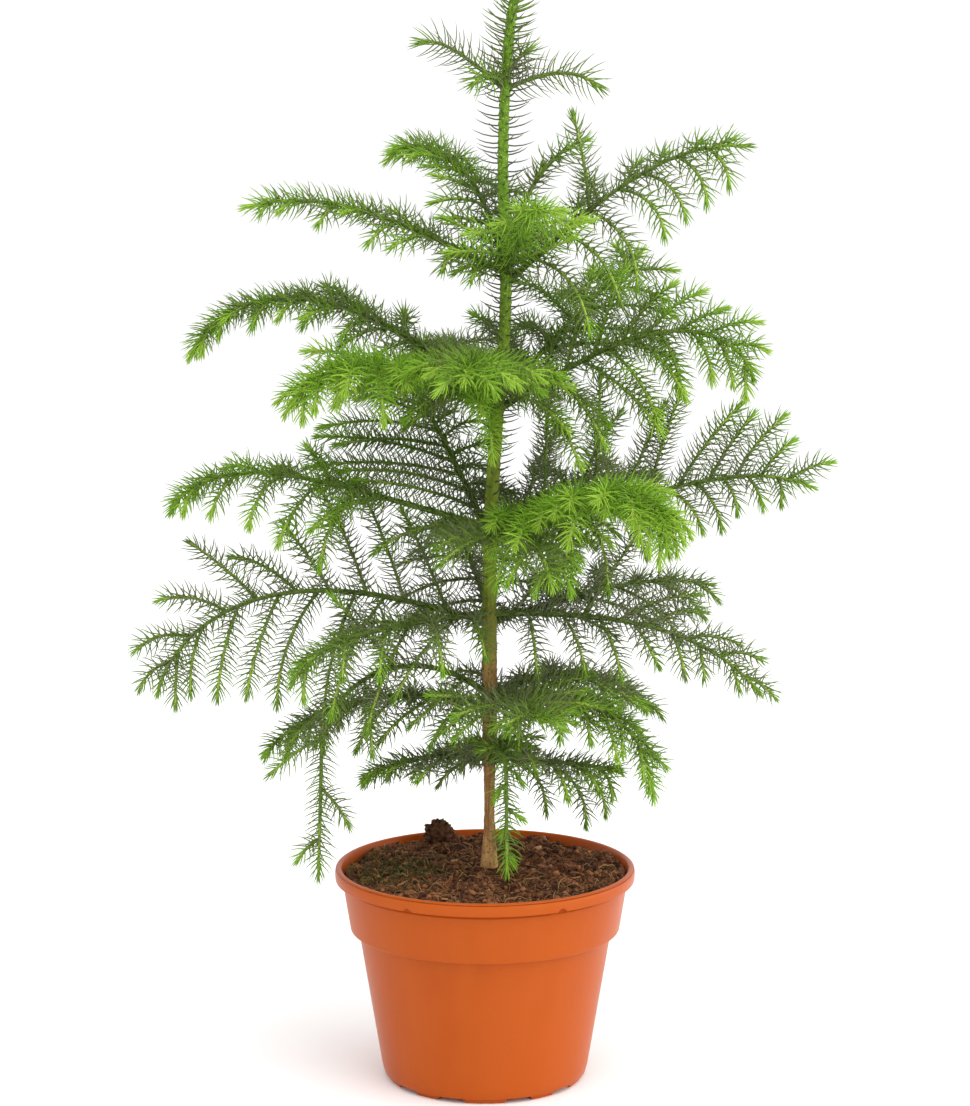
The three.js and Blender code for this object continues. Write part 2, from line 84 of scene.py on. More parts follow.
# %% Light
WORLD_STRENGTH = 0.85
EXPOSURE = 0.42
LIGHT_AIM = Vector((0.0, 0.0, 0.33))


def soft_light(name, place, size, power):
    """A square area light at a place, turned to face the middle of the plant."""
    data = bpy.data.lights.new(name, "AREA")
    data.size = size
    data.energy = power
    light = bpy.data.objects.new(name, data)
    light.location = place
    light.rotation_euler = (LIGHT_AIM - Vector(place)).to_track_quat("-Z", "Y").to_euler()
    scene.collection.objects.link(light)
    return light


world = bpy.data.worlds.new("white_studio")
world.use_nodes = True
world.node_tree.nodes["Background"].inputs["Color"].default_value = (1.0, 1.0, 1.0, 1.0)
world.node_tree.nodes["Background"].inputs["Strength"].default_value = WORLD_STRENGTH
scene.world = world
scene.view_settings.view_transform = "Standard"
scene.view_settings.exposure = EXPOSURE
lights = [
    soft_light("key_right", place=(2.1, -1.6, 1.2), size=3.4, power=32.0),
    soft_light("side_right", place=(2.2, 0.2, 0.6), size=1.6, power=12.0),
    soft_light("top", place=(0.2, -0.9, 2.4), size=1.8, power=16.0),
]
print("lights:", [light.name for light in lights])

# %% [markdown]
# ## Meshes from arrays
# Every shape here is a closed skin: rings of points with a pole at either end. A modelling tool could
# extrude such rings one by one, but numpy gives all points at once, for one pot as for ten thousand
# needles. All copies of a shape share one face pattern, moved on by the number of points in a copy.

# %% Closed skins and pieces
ROOT = "root"


def skin_pattern(stations, sides):
    """Faces of one skin: four-sided between rings, and a fan of triangles at each pole.

    Ring points come first, station by station, then the first pole and the last pole.
    """
    ring = np.arange(sides)
    after = (ring + 1) % sides
    step = sides * np.arange(stations - 1)[:, None]
    quads = np.stack([step + ring, step + after, step + sides + after, step + sides + ring], axis=-1)
    pole = np.full(sides, stations * sides)
    last = (stations - 1) * sides
    fans = np.stack([[pole, after, ring], [pole + 1, last + ring, last + after]]).transpose(0, 2, 1)
    return quads.reshape(-1, 4), fans.reshape(-1, 3)


def skins(rings, poles):
    """Closed skins from rings (copies, stations, sides, 3) and poles (copies, 2, 3)."""
    count, stations, sides, _ = rings.shape
    points = np.concatenate([rings.reshape(count, -1, 3), poles], axis=1)
    start = points.shape[1] * np.arange(count)[:, None, None]
    quads, fans = skin_pattern(stations, sides)
    return points.reshape(-1, 3), (start + quads).reshape(-1, 4), (start + fans).reshape(-1, 3)


def piece(name, shape, materials, replaced, tints=None):
    """A smooth mesh object at the origin that rides on the plant's one body.

    shape is (points, quads, triangles), and tints is the material number of each face.
    """
    points, quads, triangles = shape
    corners = np.concatenate([quads.ravel(), triangles.ravel()])
    sizes = np.repeat([4, 3], [len(quads), len(triangles)])
    mesh = bpy.data.meshes.new(name)
    mesh.vertices.add(len(points))
    mesh.vertices.foreach_set("co", points.astype(np.float32).ravel())
    mesh.loops.add(len(corners))
    mesh.loops.foreach_set("vertex_index", corners.astype(np.int32))
    mesh.polygons.add(len(sizes))
    mesh.polygons.foreach_set("loop_start", (np.cumsum(sizes) - sizes).astype(np.int32))
    mesh.polygons.foreach_set("use_smooth", np.ones(len(sizes), dtype=bool))
    for material in materials:
        mesh.materials.append(material)
    if tints is not None:
        mesh.polygons.foreach_set("material_index", tints.astype(np.int32))
    mesh.update(calc_edges=True)
    made = bpy.data.objects.new(name, mesh)
    scene.collection.objects.link(made)
    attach(made, ROOT)
    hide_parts(*replaced)
    print(name, "has", 2 * len(quads) + len(triangles), "triangles")


# %% [markdown]
# ## Finishes from nodes
# A finish is a Principled shader. What is the same all over is set on the shader's own sockets, and
# what varies comes from noise on Object coordinates, so a pattern stays on its piece from any side.
# Colours are written as hex values, as a paint chart gives them, and turned into linear light here.

# %% Finishes
def linear(hex_colour):
    """Linear red, green, blue and alpha of an sRGB hex colour."""
    shade = np.array([int(hex_colour[k:k + 2], 16) for k in (0, 2, 4)]) / 255
    light = np.where(shade <= 0.04045, shade / 12.92, ((shade + 0.055) / 1.055) ** 2.4)
    return (*light.tolist(), 1.0)


class Finish:
    """A Principled material and the few nodes that its patterns need."""

    def __init__(self, name, colour, roughness, specular):
        self.material = bpy.data.materials.new(name)
        self.material.use_nodes = True
        self.tree = self.material.node_tree
        self.shader = self.tree.nodes["Principled BSDF"]
        self.shader.inputs["Base Color"].default_value = linear(colour)
        self.shader.inputs["Roughness"].default_value = roughness
        self.shader.inputs["Specular IOR Level"].default_value = specular

    def node(self, kind, links, **values):
        """A node with its inputs set by name or linked from (input, output) pairs."""
        made = self.tree.nodes.new(kind)
        for name, value in values.items():
            made.inputs[name.replace("_", " ")].default_value = value
        for name, output in links:
            self.tree.links.new(output, made.inputs[name])
        return made

    def place(self, stretch=(1.0, 1.0, 1.0)):
        """Object coordinates, stretched along the axes."""
        coordinates = self.tree.nodes.new("ShaderNodeTexCoord").outputs["Object"]
        return self.node("ShaderNodeMapping", [("Vector", coordinates)], Scale=stretch).outputs[0]

    def noise(self, scale, detail, low=0.35, high=0.65, stretch=(1.0, 1.0, 1.0)):
        """Noise of a number of blobs per metre, its range from low to high spread over 0 to 1."""
        place = self.place(stretch)
        blobs = self.node("ShaderNodeTexNoise", [("Vector", place)], Scale=scale, Detail=detail)
        return self.spread(blobs.outputs[0], low, high)

    def spread(self, value, low, high):
        """A value's range from low to high, clamped and spread over 0 to 1."""
        made = self.node("ShaderNodeMapRange", [("Value", value)], From_Min=low, From_Max=high)
        return made.outputs[0]

    def height(self, low, high):
        """0 at one height over the ground and below it, and 1 at another height and above it."""
        split = self.node("ShaderNodeSeparateXYZ", [("Vector", self.place())])
        return self.spread(split.outputs["Z"], low, high)

    def mix(self, mask, under, over):
        """Two colours, each a hex value or another node's output, mixed by a mask."""
        made = self.tree.nodes.new("ShaderNodeMix")
        made.data_type = "RGBA"
        self.tree.links.new(mask, made.inputs[0])
        for socket, colour in zip(made.inputs[6:8], (under, over)):
            if isinstance(colour, str):
                socket.default_value = linear(colour)
            else:
                self.tree.links.new(colour, socket)
        return made.outputs[2]

    def paint(self, colour):
        """Base colour from another node's output."""
        self.tree.links.new(colour, self.shader.inputs["Base Color"])

    def gloss(self, mask, low, high):
        """Roughness from low to high by a mask."""
        made = self.node("ShaderNodeMapRange", [("Value", mask)], To_Min=low, To_Max=high)
        self.tree.links.new(made.outputs[0], self.shader.inputs["Roughness"])

    def bump(self, mask, depth):
        """Bumps as high as a mask times a depth."""
        made = self.node("ShaderNodeBump", [("Height", mask)], Strength=1.0, Distance=depth)
        self.tree.links.new(made.outputs[0], self.shader.inputs["Normal"])


print("a mid orange in linear light:", linear("c8602a"))

# %% [markdown]
# ## Floor
# The floor is a wide pale disc, so that it reaches the horizon from every side. It is only a stage and
# no part of the plant, so one ring of points round the middle is enough.

# %% Floor
FLOOR_RADIUS = 40.0
FLOOR_SIDES = 64


def all_round(sides):
    """Angles of points spread evenly round a circle, in radians."""
    return np.linspace(0, 2 * np.pi, sides, endpoint=False)


def turned(radius, level, turn):
    """Rings about Z: x and y are the radius times cos(turn) and sin(turn), and z is the level."""
    x = radius * np.cos(turn)
    y = radius * np.sin(turn)
    return np.stack([x, y, level + 0 * x], axis=-1)


floor_finish = Finish("pale_floor", "f6f6f6", roughness=0.9, specular=0.1)
floor_rim = turned(FLOOR_RADIUS, 0.0, all_round(FLOOR_SIDES))
floor_mesh = bpy.data.meshes.new("floor")
floor_mesh.from_pydata(floor_rim.tolist(), [], [list(range(FLOOR_SIDES))])
floor_mesh.materials.append(floor_finish.material)
floor = bpy.data.objects.new("floor", floor_mesh)
scene.collection.objects.link(floor)
print("floor:", 2 * FLOOR_RADIUS, "m across")

# %% [markdown]
# ## Pot
# A thin plastic pot has a rolled rim, a collar that lets pots stack, a tapered body and a foot cut into
# pads so that water drains. It is a lathe shape: one profile turned about Z. The profile is a list of
# corners, each rounded by a parabola, and the foot's notches and the small stacking marks under the rim
# are moves of the turned points that depend on the angle.

# %% Pot profile
POT_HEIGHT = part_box("pot")[1].z
RIM_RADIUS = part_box("pot")[1].x
POT_WALL = 0.0018
POT_FLOOR = 0.003
FAN_RADIUS = 0.020
FOOT_RADIUS = 0.055
PAD_HEIGHT = 0.0024
COLLAR_TOP = (0.0806, 0.1142)
COLLAR_FOOT = (0.0764, 0.0872)
SHOULDER = (0.0716, 0.0854)
BODY_FOOT = (0.0584, 0.006)
BEAD_FOOT = 0.1147
GROOVE_DEPTH = 0.0009
NOTCH_INNER_RADIUS = 0.050

# Each corner of the profile: radius, height, and how far from the corner its rounding starts
pot_corners = np.array([
    (FAN_RADIUS, 0.0, 0.0),
    (NOTCH_INNER_RADIUS - 0.0004, 0.0, 0.0002),
    (NOTCH_INNER_RADIUS, 0.0, 0.0002),
    (FOOT_RADIUS, 0.0, 0.0004),
    (FOOT_RADIUS + 0.0003, PAD_HEIGHT, 0.0003),
    (BODY_FOOT[0] - 0.0012, PAD_HEIGHT + 0.0003, 0.0007),
    (*BODY_FOOT, 0.0028),
    (*SHOULDER, 0.0004),
    (COLLAR_FOOT[0] - 0.0003, COLLAR_FOOT[1] - 0.0012, 0.0010),
    (COLLAR_FOOT[0] + 0.0004, COLLAR_FOOT[1] + 0.0030, 0.0024),
    (COLLAR_TOP[0] - 0.0002, COLLAR_TOP[1] - 0.0018, 0.0003),
    (COLLAR_TOP[0] - GROOVE_DEPTH, COLLAR_TOP[1] - 0.0008, 0.0003),
    (COLLAR_TOP[0] - GROOVE_DEPTH, COLLAR_TOP[1], 0.0002),
    (RIM_RADIUS - 0.0004, BEAD_FOOT, 0.0005),
    (RIM_RADIUS, POT_HEIGHT - 0.0026, 0.0020),
    (RIM_RADIUS - 0.0010, POT_HEIGHT, 0.0014),
    (RIM_RADIUS - 0.0036, POT_HEIGHT, 0.0012),
    (COLLAR_TOP[0] - POT_WALL + 0.0004, COLLAR_TOP[1] + 0.0020, 0.0024),
    (COLLAR_FOOT[0] - POT_WALL, COLLAR_FOOT[1] + 0.0010, 0.0008),
    (SHOULDER[0] - POT_WALL, SHOULDER[1] + POT_WALL, 0.0004),
    (BODY_FOOT[0] - POT_WALL, POT_FLOOR, 0.001),
    (FAN_RADIUS, POT_FLOOR, 0.0),
])


def rounded(corners, steps):
    """A polyline whose corners are parabolas.

    With c the corner, and a and b the points where its rounding starts and ends on the two sides,
    the curve is (1-t)^2 a + 2t(1-t) c + t^2 b.
    """
    middle = corners[1:-1, :2]
    back = corners[:-2, :2] - middle
    ahead = corners[2:, :2] - middle
    cut = corners[1:-1, 2:]
    start = middle + cut * back / np.linalg.norm(back, axis=1, keepdims=True)
    end = middle + cut * ahead / np.linalg.norm(ahead, axis=1, keepdims=True)
    t = np.linspace(0, 1, steps)[None, :, None]
    curve = (1 - t) ** 2 * start[:, None] + 2 * t * (1 - t) * middle[:, None] + t ** 2 * end[:, None]
    return np.concatenate([corners[:1, :2], curve.reshape(-1, 2), corners[-1:, :2]])


pot_profile = rounded(pot_corners, steps=6)
print("pot profile:", len(pot_profile), "points up to", round(pot_profile[:, 1].max(), 4))

# %% Pot skin
POT_SIDES = 360
FRONT_ANGLE = -90.0
NOTCH_PAIRS = 5
NOTCH_OFFSET = 20.0
NOTCH_WIDTH = 16.0
NOTCH_SOFT = 0.6
PAD_SLACK = 0.0002
MARK_COUNT = 6
MARK_FIRST = -60.0
MARK_WIDTH = 2.2
MARK_SOFT = 0.3
MARK_HEIGHT = 0.0019
BEAD_OVERHANG = 0.002
BEAD_UNDERSIDE = 0.0006


def ramp(value, low, high):
    """0 under low and 1 over high, with the smooth S curve 3t^2 - 2t^3 in between."""
    t = np.clip((value - low) / (high - low), 0, 1)
    return t * t * (3 - 2 * t)


def near_angle(turn, angles, half_width, soft):
    """1 within half_width of any of the angles and 0 beyond, over a soft edge, all in degrees."""
    away = np.abs((turn[:, None] - angles + 180) % 360 - 180).min(axis=1)
    return 1 - ramp(away, half_width - soft, half_width + soft)


pot_turn = np.arange(POT_SIDES) * 360 / POT_SIDES
pair_angles = FRONT_ANGLE + np.arange(NOTCH_PAIRS) * 360 / NOTCH_PAIRS
notch_angles = np.concatenate([pair_angles - NOTCH_OFFSET, pair_angles + NOTCH_OFFSET])
notch = near_angle(pot_turn, notch_angles, NOTCH_WIDTH / 2, NOTCH_SOFT)
mark_angles = MARK_FIRST + np.arange(MARK_COUNT) * 360 / MARK_COUNT
mark = near_angle(pot_turn, mark_angles, MARK_WIDTH / 2, MARK_SOFT)

pot_radius, pot_level = pot_profile.T
outside = np.arange(len(pot_profile)) < np.argmax(pot_level)
in_pad = outside & (pot_radius >= NOTCH_INNER_RADIUS) & (pot_level < PAD_HEIGHT - PAD_SLACK)
pad_lift = np.where(in_pad, PAD_HEIGHT - PAD_SLACK / 2 - pot_level, 0.0)
overhanging = outside & (pot_radius > COLLAR_TOP[0] + BEAD_OVERHANG)
mark_lift = np.where(overhanging & (pot_level < BEAD_FOOT + BEAD_UNDERSIDE), MARK_HEIGHT, 0.0)
wall_level = pot_level[:, None] + pad_lift[:, None] * notch + mark_lift[:, None] * mark
pot_rings = turned(pot_radius[:, None], wall_level, np.radians(pot_turn))[None]
pot_poles = np.array([[(0, 0, 0), (0, 0, POT_FLOOR)]])
print("pot skin:", pot_rings.shape[1], "rings of", POT_SIDES, "points")

# %% Pot finish
pot_finish = Finish("terracotta_plastic", "ab4c0f", roughness=0.36, specular=0.14)
cloudy = pot_finish.noise(14.0, detail=3.0, low=0.3, high=0.7)
streaky = pot_finish.noise(60.0, detail=5.0, low=0.42, high=0.62, stretch=(1.0, 1.0, 0.25))
pot_colour = pot_finish.mix(cloudy, "a7490d", "af4f11")
pot_finish.paint(pot_finish.mix(streaky, pot_colour, "ad4e12"))
pot_finish.gloss(cloudy, low=0.30, high=0.40)
pot_finish.bump(pot_finish.noise(900.0, detail=2.0), depth=0.00004)
piece("pot_shell", skins(pot_rings, pot_poles), [pot_finish.material], ["pot"])

# %% [markdown]
# ## Soil
# The pot is filled with peat and coir: a lumpy brown surface with crumbs, fibres and chips of bark on
# it, and some moss at the left. The surface is a height over the plane, from a low mound and random
# waves of several sizes. A displacement texture would do the same in the picture, but here the shape is
# in the mesh, and the crumbs and fibres can be laid on it by asking for its height.

# %% Soil surface
SOIL_EDGE = 0.1180
SOIL_TOP = 0.1205
LUMP_ROOM = 0.0009
MOUND_TOP = SOIL_TOP - LUMP_ROOM
SOIL_GAP = 0.0003
SOIL_FLAT_RADIUS = 0.009
LUMP_FADE = (0.004, 0.014)
SOIL_SIDES = 320
SOIL_RINGS = 84
INNERMOST_RING = 0.0008
COLLAR_STEP = 0.0014
WALL_SLOPE = (COLLAR_TOP[0] - COLLAR_FOOT[0]) / (COLLAR_TOP[1] - COLLAR_FOOT[1])
SOIL_RADIUS = COLLAR_TOP[0] - POT_WALL - SOIL_GAP + WALL_SLOPE * (SOIL_EDGE - COLLAR_TOP[1])
# Each layer of lumps: wavelength, height, and seed
SOIL_LUMPS = [(0.034, 0.0009, 11), (0.012, 0.0007, 12), (0.0052, 0.0005, 13), (0.0024, 0.00028, 14)]
WAVES = 18
WAVE_RANGE = (0.7, 1.4)


def rolling(x, y, wavelength, seed):
    """Random rolling ground: a sum of plane waves near one length in random directions, of spread 1."""
    draw = np.random.default_rng(seed)
    heading = draw.uniform(0, 2 * np.pi, WAVES)
    number = 2 * np.pi / wavelength * draw.uniform(*WAVE_RANGE, WAVES)
    phase = draw.uniform(0, 2 * np.pi, WAVES)
    along = x[..., None] * np.cos(heading) + y[..., None] * np.sin(heading)
    return np.sin(along * number + phase).sum(axis=-1) / np.sqrt(WAVES / 2)


def soil_height(x, y):
    """A quarter sine wave from the wall up to the flat at the stem, with all the lumps on it.

    The lumps fade out towards the stem, where the trunk stands on the flat.
    """
    radius = np.hypot(x, y)
    inward = np.clip((SOIL_RADIUS - radius) / (SOIL_RADIUS - SOIL_FLAT_RADIUS), 0, 1)
    mound = SOIL_EDGE + (MOUND_TOP - SOIL_EDGE) * np.sin(inward * np.pi / 2)
    lumps = sum(height * rolling(x, y, wave, seed) for wave, height, seed in SOIL_LUMPS)
    return mound + lumps * ramp(radius, *LUMP_FADE)


soil_turn = all_round(SOIL_SIDES)
top_radius = np.linspace(SOIL_RADIUS, INNERMOST_RING, SOIL_RINGS)[:, None]
top_x = top_radius * np.cos(soil_turn)
top_y = top_radius * np.sin(soil_turn)
top_rings = np.stack([top_x, top_y, soil_height(top_x, top_y)], axis=-1)
foot_profile = np.array([
    (BODY_FOOT[0] - POT_WALL - SOIL_GAP, POT_FLOOR + SOIL_GAP),
    (SHOULDER[0] - POT_WALL - SOIL_GAP, SHOULDER[1] + POT_WALL),
    (COLLAR_FOOT[0] - POT_WALL - SOIL_GAP, COLLAR_FOOT[1] + COLLAR_STEP),
])
foot_rings = turned(foot_profile[:, :1], foot_profile[:, 1:], soil_turn)
soil_rings = np.concatenate([foot_rings, top_rings])[None]
soil_poles = np.array([[(0, 0, POT_FLOOR + SOIL_GAP), (0, 0, MOUND_TOP)]])
print("soil: radius", round(SOIL_RADIUS, 4), "and heights up to", round(float(top_rings[..., 2].max()), 4))

# %% Soil finish
def peaty(name, colour, dark, pale):
    """A finish of bumpy peat, and its colour: two browns mixed by a fine noise."""
    finish = Finish(name, colour, roughness=0.95, specular=0.2)
    grain = finish.noise(420.0, detail=6.0, low=0.36, high=0.62)
    finish.bump(finish.noise(1100.0, detail=5.0, low=0.2, high=0.8), depth=0.0006)
    return finish, finish.mix(grain, dark, pale)


soil_finish, peat = peaty("peat", "4a3122", dark="351d11", pale="875435")
pale_grains = soil_finish.noise(1500.0, detail=3.0, low=0.56, high=0.66)
damp_patches = soil_finish.noise(55.0, detail=3.0, low=0.5, high=0.66)
peat = soil_finish.mix(pale_grains, peat, "ab7a4c")
soil_finish.paint(soil_finish.mix(damp_patches, peat, "402416"))
piece("soil_bed", skins(soil_rings, soil_poles), [soil_finish.material], ["soil"])

# %% [markdown]
# ### Crumbs, fibres and chips
# What lies on the soil is a few thousand small things, so each kind has one simple shape: a crumb is
# three rough rings, a fibre is a thin bent tube, and a chip is a flat sliver. They are scattered by a
# seeded draw, stand on the soil's height, and take one of a few browns each. Moss is made of short
# fibres in dull greens, and the one clod at the back is a lumpy ball.

# %% Strewing
STEM_ROOM = 0.007
soil_draw = np.random.default_rng(31)


def on_soil(count, wall_gap):
    """Places spread evenly over the soil: the root of a uniform draw of the radius squared, and a turn."""
    outer = SOIL_RADIUS - wall_gap
    radius = np.sqrt(soil_draw.uniform(STEM_ROOM ** 2, outer ** 2, count))
    turn = soil_draw.uniform(0, 2 * np.pi, count)
    return radius * np.cos(turn), radius * np.sin(turn)


def plain_finishes(name, colours, roughness, specular):
    """One plain finish for each colour, to be dealt out among many small things."""
    finishes = [Finish(f"{name}_{k + 1}", colour, roughness, specular) for k, colour in enumerate(colours)]
    return [finish.material for finish in finishes]


def dealt(tints, shape):
    """The tint of each thing given to all of its faces, four-sided ones first."""
    _, quads, triangles = shape
    quads_each = len(quads) // len(tints)
    fans_each = len(triangles) // len(tints)
    return np.concatenate([np.repeat(tints, quads_each), np.repeat(tints, fans_each)])


def strew(name, kind, shape, count, colours, roughness, specular):
    """A piece of many small things on the soil, each with one of a few plain finishes at random."""
    tints = soil_draw.integers(0, len(colours), count)
    finishes = plain_finishes(kind, colours, roughness, specular)
    piece(name, shape, finishes, ["soil"], dealt(tints, shape))


print("soil to strew:", round(np.pi * (SOIL_RADIUS ** 2 - STEM_ROOM ** 2), 4), "square metres")

# %% Crumbs
CRUMB_COUNT = 2400
CRUMB_SMALLEST = 0.0004
CRUMB_SPREAD = 0.0017
CRUMB_TILTS = np.radians([-50.0, 0.0, 50.0])
CRUMB_SPIN = 6.0
CRUMB_ROUGH = (0.65, 1.25)
CRUMB_FLAT = 0.75
CRUMB_SEAT = 0.25
CRUMB_BROWNS = ["38200f", "66402a", "8a5a39", "4c2c1b"]
SIX_WAYS = np.radians(np.arange(6) * 60.0)


def crumbs(x, y, size):
    """Rough grains: three rings of six points on a flattened ball, each point moved in or out at random."""
    count = len(x)
    tilt = CRUMB_TILTS[:, None]
    turn = SIX_WAYS + soil_draw.uniform(0, CRUMB_SPIN, (count, 1, 1))
    rough = size[:, None, None] * soil_draw.uniform(*CRUMB_ROUGH, (count, len(CRUMB_TILTS), len(SIX_WAYS)))
    rings = turned(rough * np.cos(tilt), CRUMB_FLAT * rough * np.sin(tilt), turn)
    centre = np.stack([x, y, soil_height(x, y) + CRUMB_SEAT * size], axis=-1)
    poles = np.stack([0 * centre, 0 * centre], axis=1)
    poles[:, :, 2] = CRUMB_FLAT * size[:, None] * np.array([-1.0, 1.0])
    return skins(rings + centre[:, None, None], poles + centre[:, None])


crumb_x, crumb_y = on_soil(CRUMB_COUNT, wall_gap=0.002)
crumb_size = CRUMB_SMALLEST + CRUMB_SPREAD * soil_draw.random(CRUMB_COUNT) ** 3
crumb_shape = crumbs(crumb_x, crumb_y, crumb_size)
strew("soil_crumbs", "crumb", crumb_shape, CRUMB_COUNT, CRUMB_BROWNS, roughness=0.95, specular=0.2)

# %% Fibres and moss
FIBRE_COUNT = 720
FIBRE_STATIONS = 7
FIBRE_SWING = 1.3
FIBRE_WALL_GAP = 0.0015
FIBRE_POINT = 0.6
# Lowest and highest length, radius and arch
FIBRE_RANGES = [(0.006, 0.026), (0.00013, 0.00032), (0.0, 0.0022)]
FIBRE_BROWNS = ["87603a", "5c3a23", "a07c52", "432819"]
MOSS_COUNT = 520
MOSS_PLACE = (-0.047, -0.004)
MOSS_WIDTH = 0.015
MOSS_DEPTH = 1.3 * MOSS_WIDTH
MOSS_RANGES = [(0.003, 0.010), (0.00015, 0.0003), (0.0005, 0.0028)]
MOSS_GREENS = ["4d4a22", "6b6430", "37351b"]
THREE_WAYS = np.radians([0.0, 120.0, 240.0])
UP = np.array([0.0, 0.0, 1.0])


def unit(vectors):
    """Vectors divided by their own length."""
    return vectors / np.linalg.norm(vectors, axis=-1, keepdims=True)


def spokes(side, above, turn):
    """Arms at some turns round each point of a path: side times cos(turn) plus above times sin(turn)."""
    return side[..., None, :] * np.cos(turn)[:, None] + above[..., None, :] * np.sin(turn)[:, None]


def fibres(x, y, ranges):
    """Thin bent tubes that lie on the soil: a path that turns evenly, with its middle raised by an arch.

    At a share s of the length, the height over the soil is the radius plus the arch times 4s(1-s),
    and the thickness is that of a cigar, which narrows with the fourth power of 2s-1.
    """
    count = len(x)
    length, radius, arch = [soil_draw.uniform(low, high, (count, 1)) for low, high in ranges]
    s = np.linspace(0, 1, FIBRE_STATIONS)[None]
    middle_heading = soil_draw.uniform(0, 2 * np.pi, (count, 1))
    heading = middle_heading + soil_draw.normal(0, FIBRE_SWING, (count, 1)) * (s - 0.5)
    stride = length / FIBRE_STATIONS
    path_x = x[:, None] + np.cumsum(np.cos(heading) * stride, axis=1) - length / 2 * np.cos(heading[:, :1])
    path_y = y[:, None] + np.cumsum(np.sin(heading) * stride, axis=1) - length / 2 * np.sin(heading[:, :1])
    shrink = np.minimum(1, (SOIL_RADIUS - FIBRE_WALL_GAP) / np.hypot(path_x, path_y))
    path_x = path_x * shrink
    path_y = path_y * shrink
    path_z = soil_height(path_x, path_y) + radius + arch * 4 * s * (1 - s)
    path = np.stack([path_x, path_y, path_z], axis=-1)
    along = unit(np.gradient(path, axis=1))
    across = unit(np.cross(UP, along))
    arms = spokes(across, np.cross(along, across), THREE_WAYS)
    thick = radius * (1 - FIBRE_POINT * (2 * s - 1) ** 4)
    return skins(path[:, :, None] + thick[:, :, None, None] * arms, path[:, [0, -1]])


fibre_x, fibre_y = on_soil(FIBRE_COUNT, wall_gap=0.004)
fibre_shape = fibres(fibre_x, fibre_y, FIBRE_RANGES)
strew("soil_fibres", "fibre", fibre_shape, FIBRE_COUNT, FIBRE_BROWNS, roughness=0.8, specular=0.25)
moss_x = MOSS_PLACE[0] + soil_draw.normal(0, MOSS_WIDTH, MOSS_COUNT)
moss_y = MOSS_PLACE[1] + soil_draw.normal(0, MOSS_DEPTH, MOSS_COUNT)
moss_shape = fibres(moss_x, moss_y, MOSS_RANGES)
strew("soil_moss", "moss", moss_shape, MOSS_COUNT, MOSS_GREENS, roughness=0.9, specular=0.2)

# %% Chips
CHIP_COUNT = 60
CHIP_LENGTHS = (0.003, 0.010)
CHIP_SLIMNESS = 2.5
CHIP_THICKNESS = 0.12
CHIP_ROUGH = (0.75, 1.15)
CHIP_LEAN = 0.22
CHIP_BROWNS = ["8a5a38", "5a3a26", "a3724a"]


def chips(x, y, length):
    """Slivers of bark: a flat ring of six points over the same ring set lower.

    A ring is two and a half times as long as wide, and leans by a small random slope along x and y.
    """
    count = len(x)
    heading = soil_draw.uniform(0, 2 * np.pi, (count, 1))
    rough = soil_draw.uniform(*CHIP_ROUGH, (count, len(SIX_WAYS)))
    long = length[:, None] / 2 * np.cos(SIX_WAYS) * rough
    wide = length[:, None] / (2 * CHIP_SLIMNESS) * np.sin(SIX_WAYS) * rough
    lean = soil_draw.normal(0, CHIP_LEAN, (count, 2))
    flat_x = long * np.cos(heading) - wide * np.sin(heading)
    flat_y = long * np.sin(heading) + wide * np.cos(heading)
    rise = lean[:, :1] * flat_x + lean[:, 1:] * flat_y
    thick = CHIP_THICKNESS * length
    upper = np.stack([flat_x, flat_y, rise], axis=-1)
    lower = upper - UP * thick[:, None, None]
    centre = np.stack([x, y, soil_height(x, y) + thick], axis=-1)
    rings = np.stack([lower, upper], axis=1) + centre[:, None, None]
    return skins(rings, rings.mean(axis=2))


chip_x, chip_y = on_soil(CHIP_COUNT, wall_gap=0.008)
chip_shape = chips(chip_x, chip_y, soil_draw.uniform(*CHIP_LENGTHS, CHIP_COUNT))
strew("soil_chips", "chip", chip_shape, CHIP_COUNT, CHIP_BROWNS, roughness=0.85, specular=0.25)

# %% Clod
CLOD_CENTRE = (-0.027, 0.064, 0.124)
CLOD_RADIUS = 0.0085
CLOD_STRETCH = (1.0, 0.8, 0.95)
CLOD_SIDES = 48
CLOD_RINGS = 30
CLOD_END_TILT = 0.48 * np.pi
CLOD_COARSE = 0.09
CLOD_FINE = 0.05


def ball_clod(centre, radius):
    """A ball of soil: its radius swells and shrinks by coarse and fine rolling waves laid over it."""
    tilt = np.linspace(-CLOD_END_TILT, CLOD_END_TILT, CLOD_RINGS)[:, None]
    ball = turned(np.cos(tilt), np.sin(tilt), all_round(CLOD_SIDES))
    x, y, z = np.moveaxis(ball, -1, 0)
    coarse = rolling(x + 2 * z, y - z, wavelength=1.1, seed=21)
    fine = rolling(x - z, y + 2 * z, wavelength=0.34, seed=22)
    size = radius * (1 + CLOD_COARSE * coarse + CLOD_FINE * fine)
    rings = ball * size[..., None] * np.array(CLOD_STRETCH) + np.array(centre)
    return skins(rings[None], rings[None][:, [0, -1]].mean(axis=2))


clod_finish, damp = peaty("damp_peat", "40291b", dark="2c190f", pale="66422b")
clod_finish.paint(damp)
piece("soil_clod", ball_clod(CLOD_CENTRE, CLOD_RADIUS), [clod_finish.material], ["soil"])

# %% [markdown]
# ## Trunk
# The stem is one tapering limb from the soil to the leader's tip. Its foot is brown, ridged bark, and
# higher up it is still green and covered with the raised cushions of its leaves. A tube with a bump map
# would stay smooth in outline, so the ridges and cushions are part of the radius: a function of the
# angle and the height.

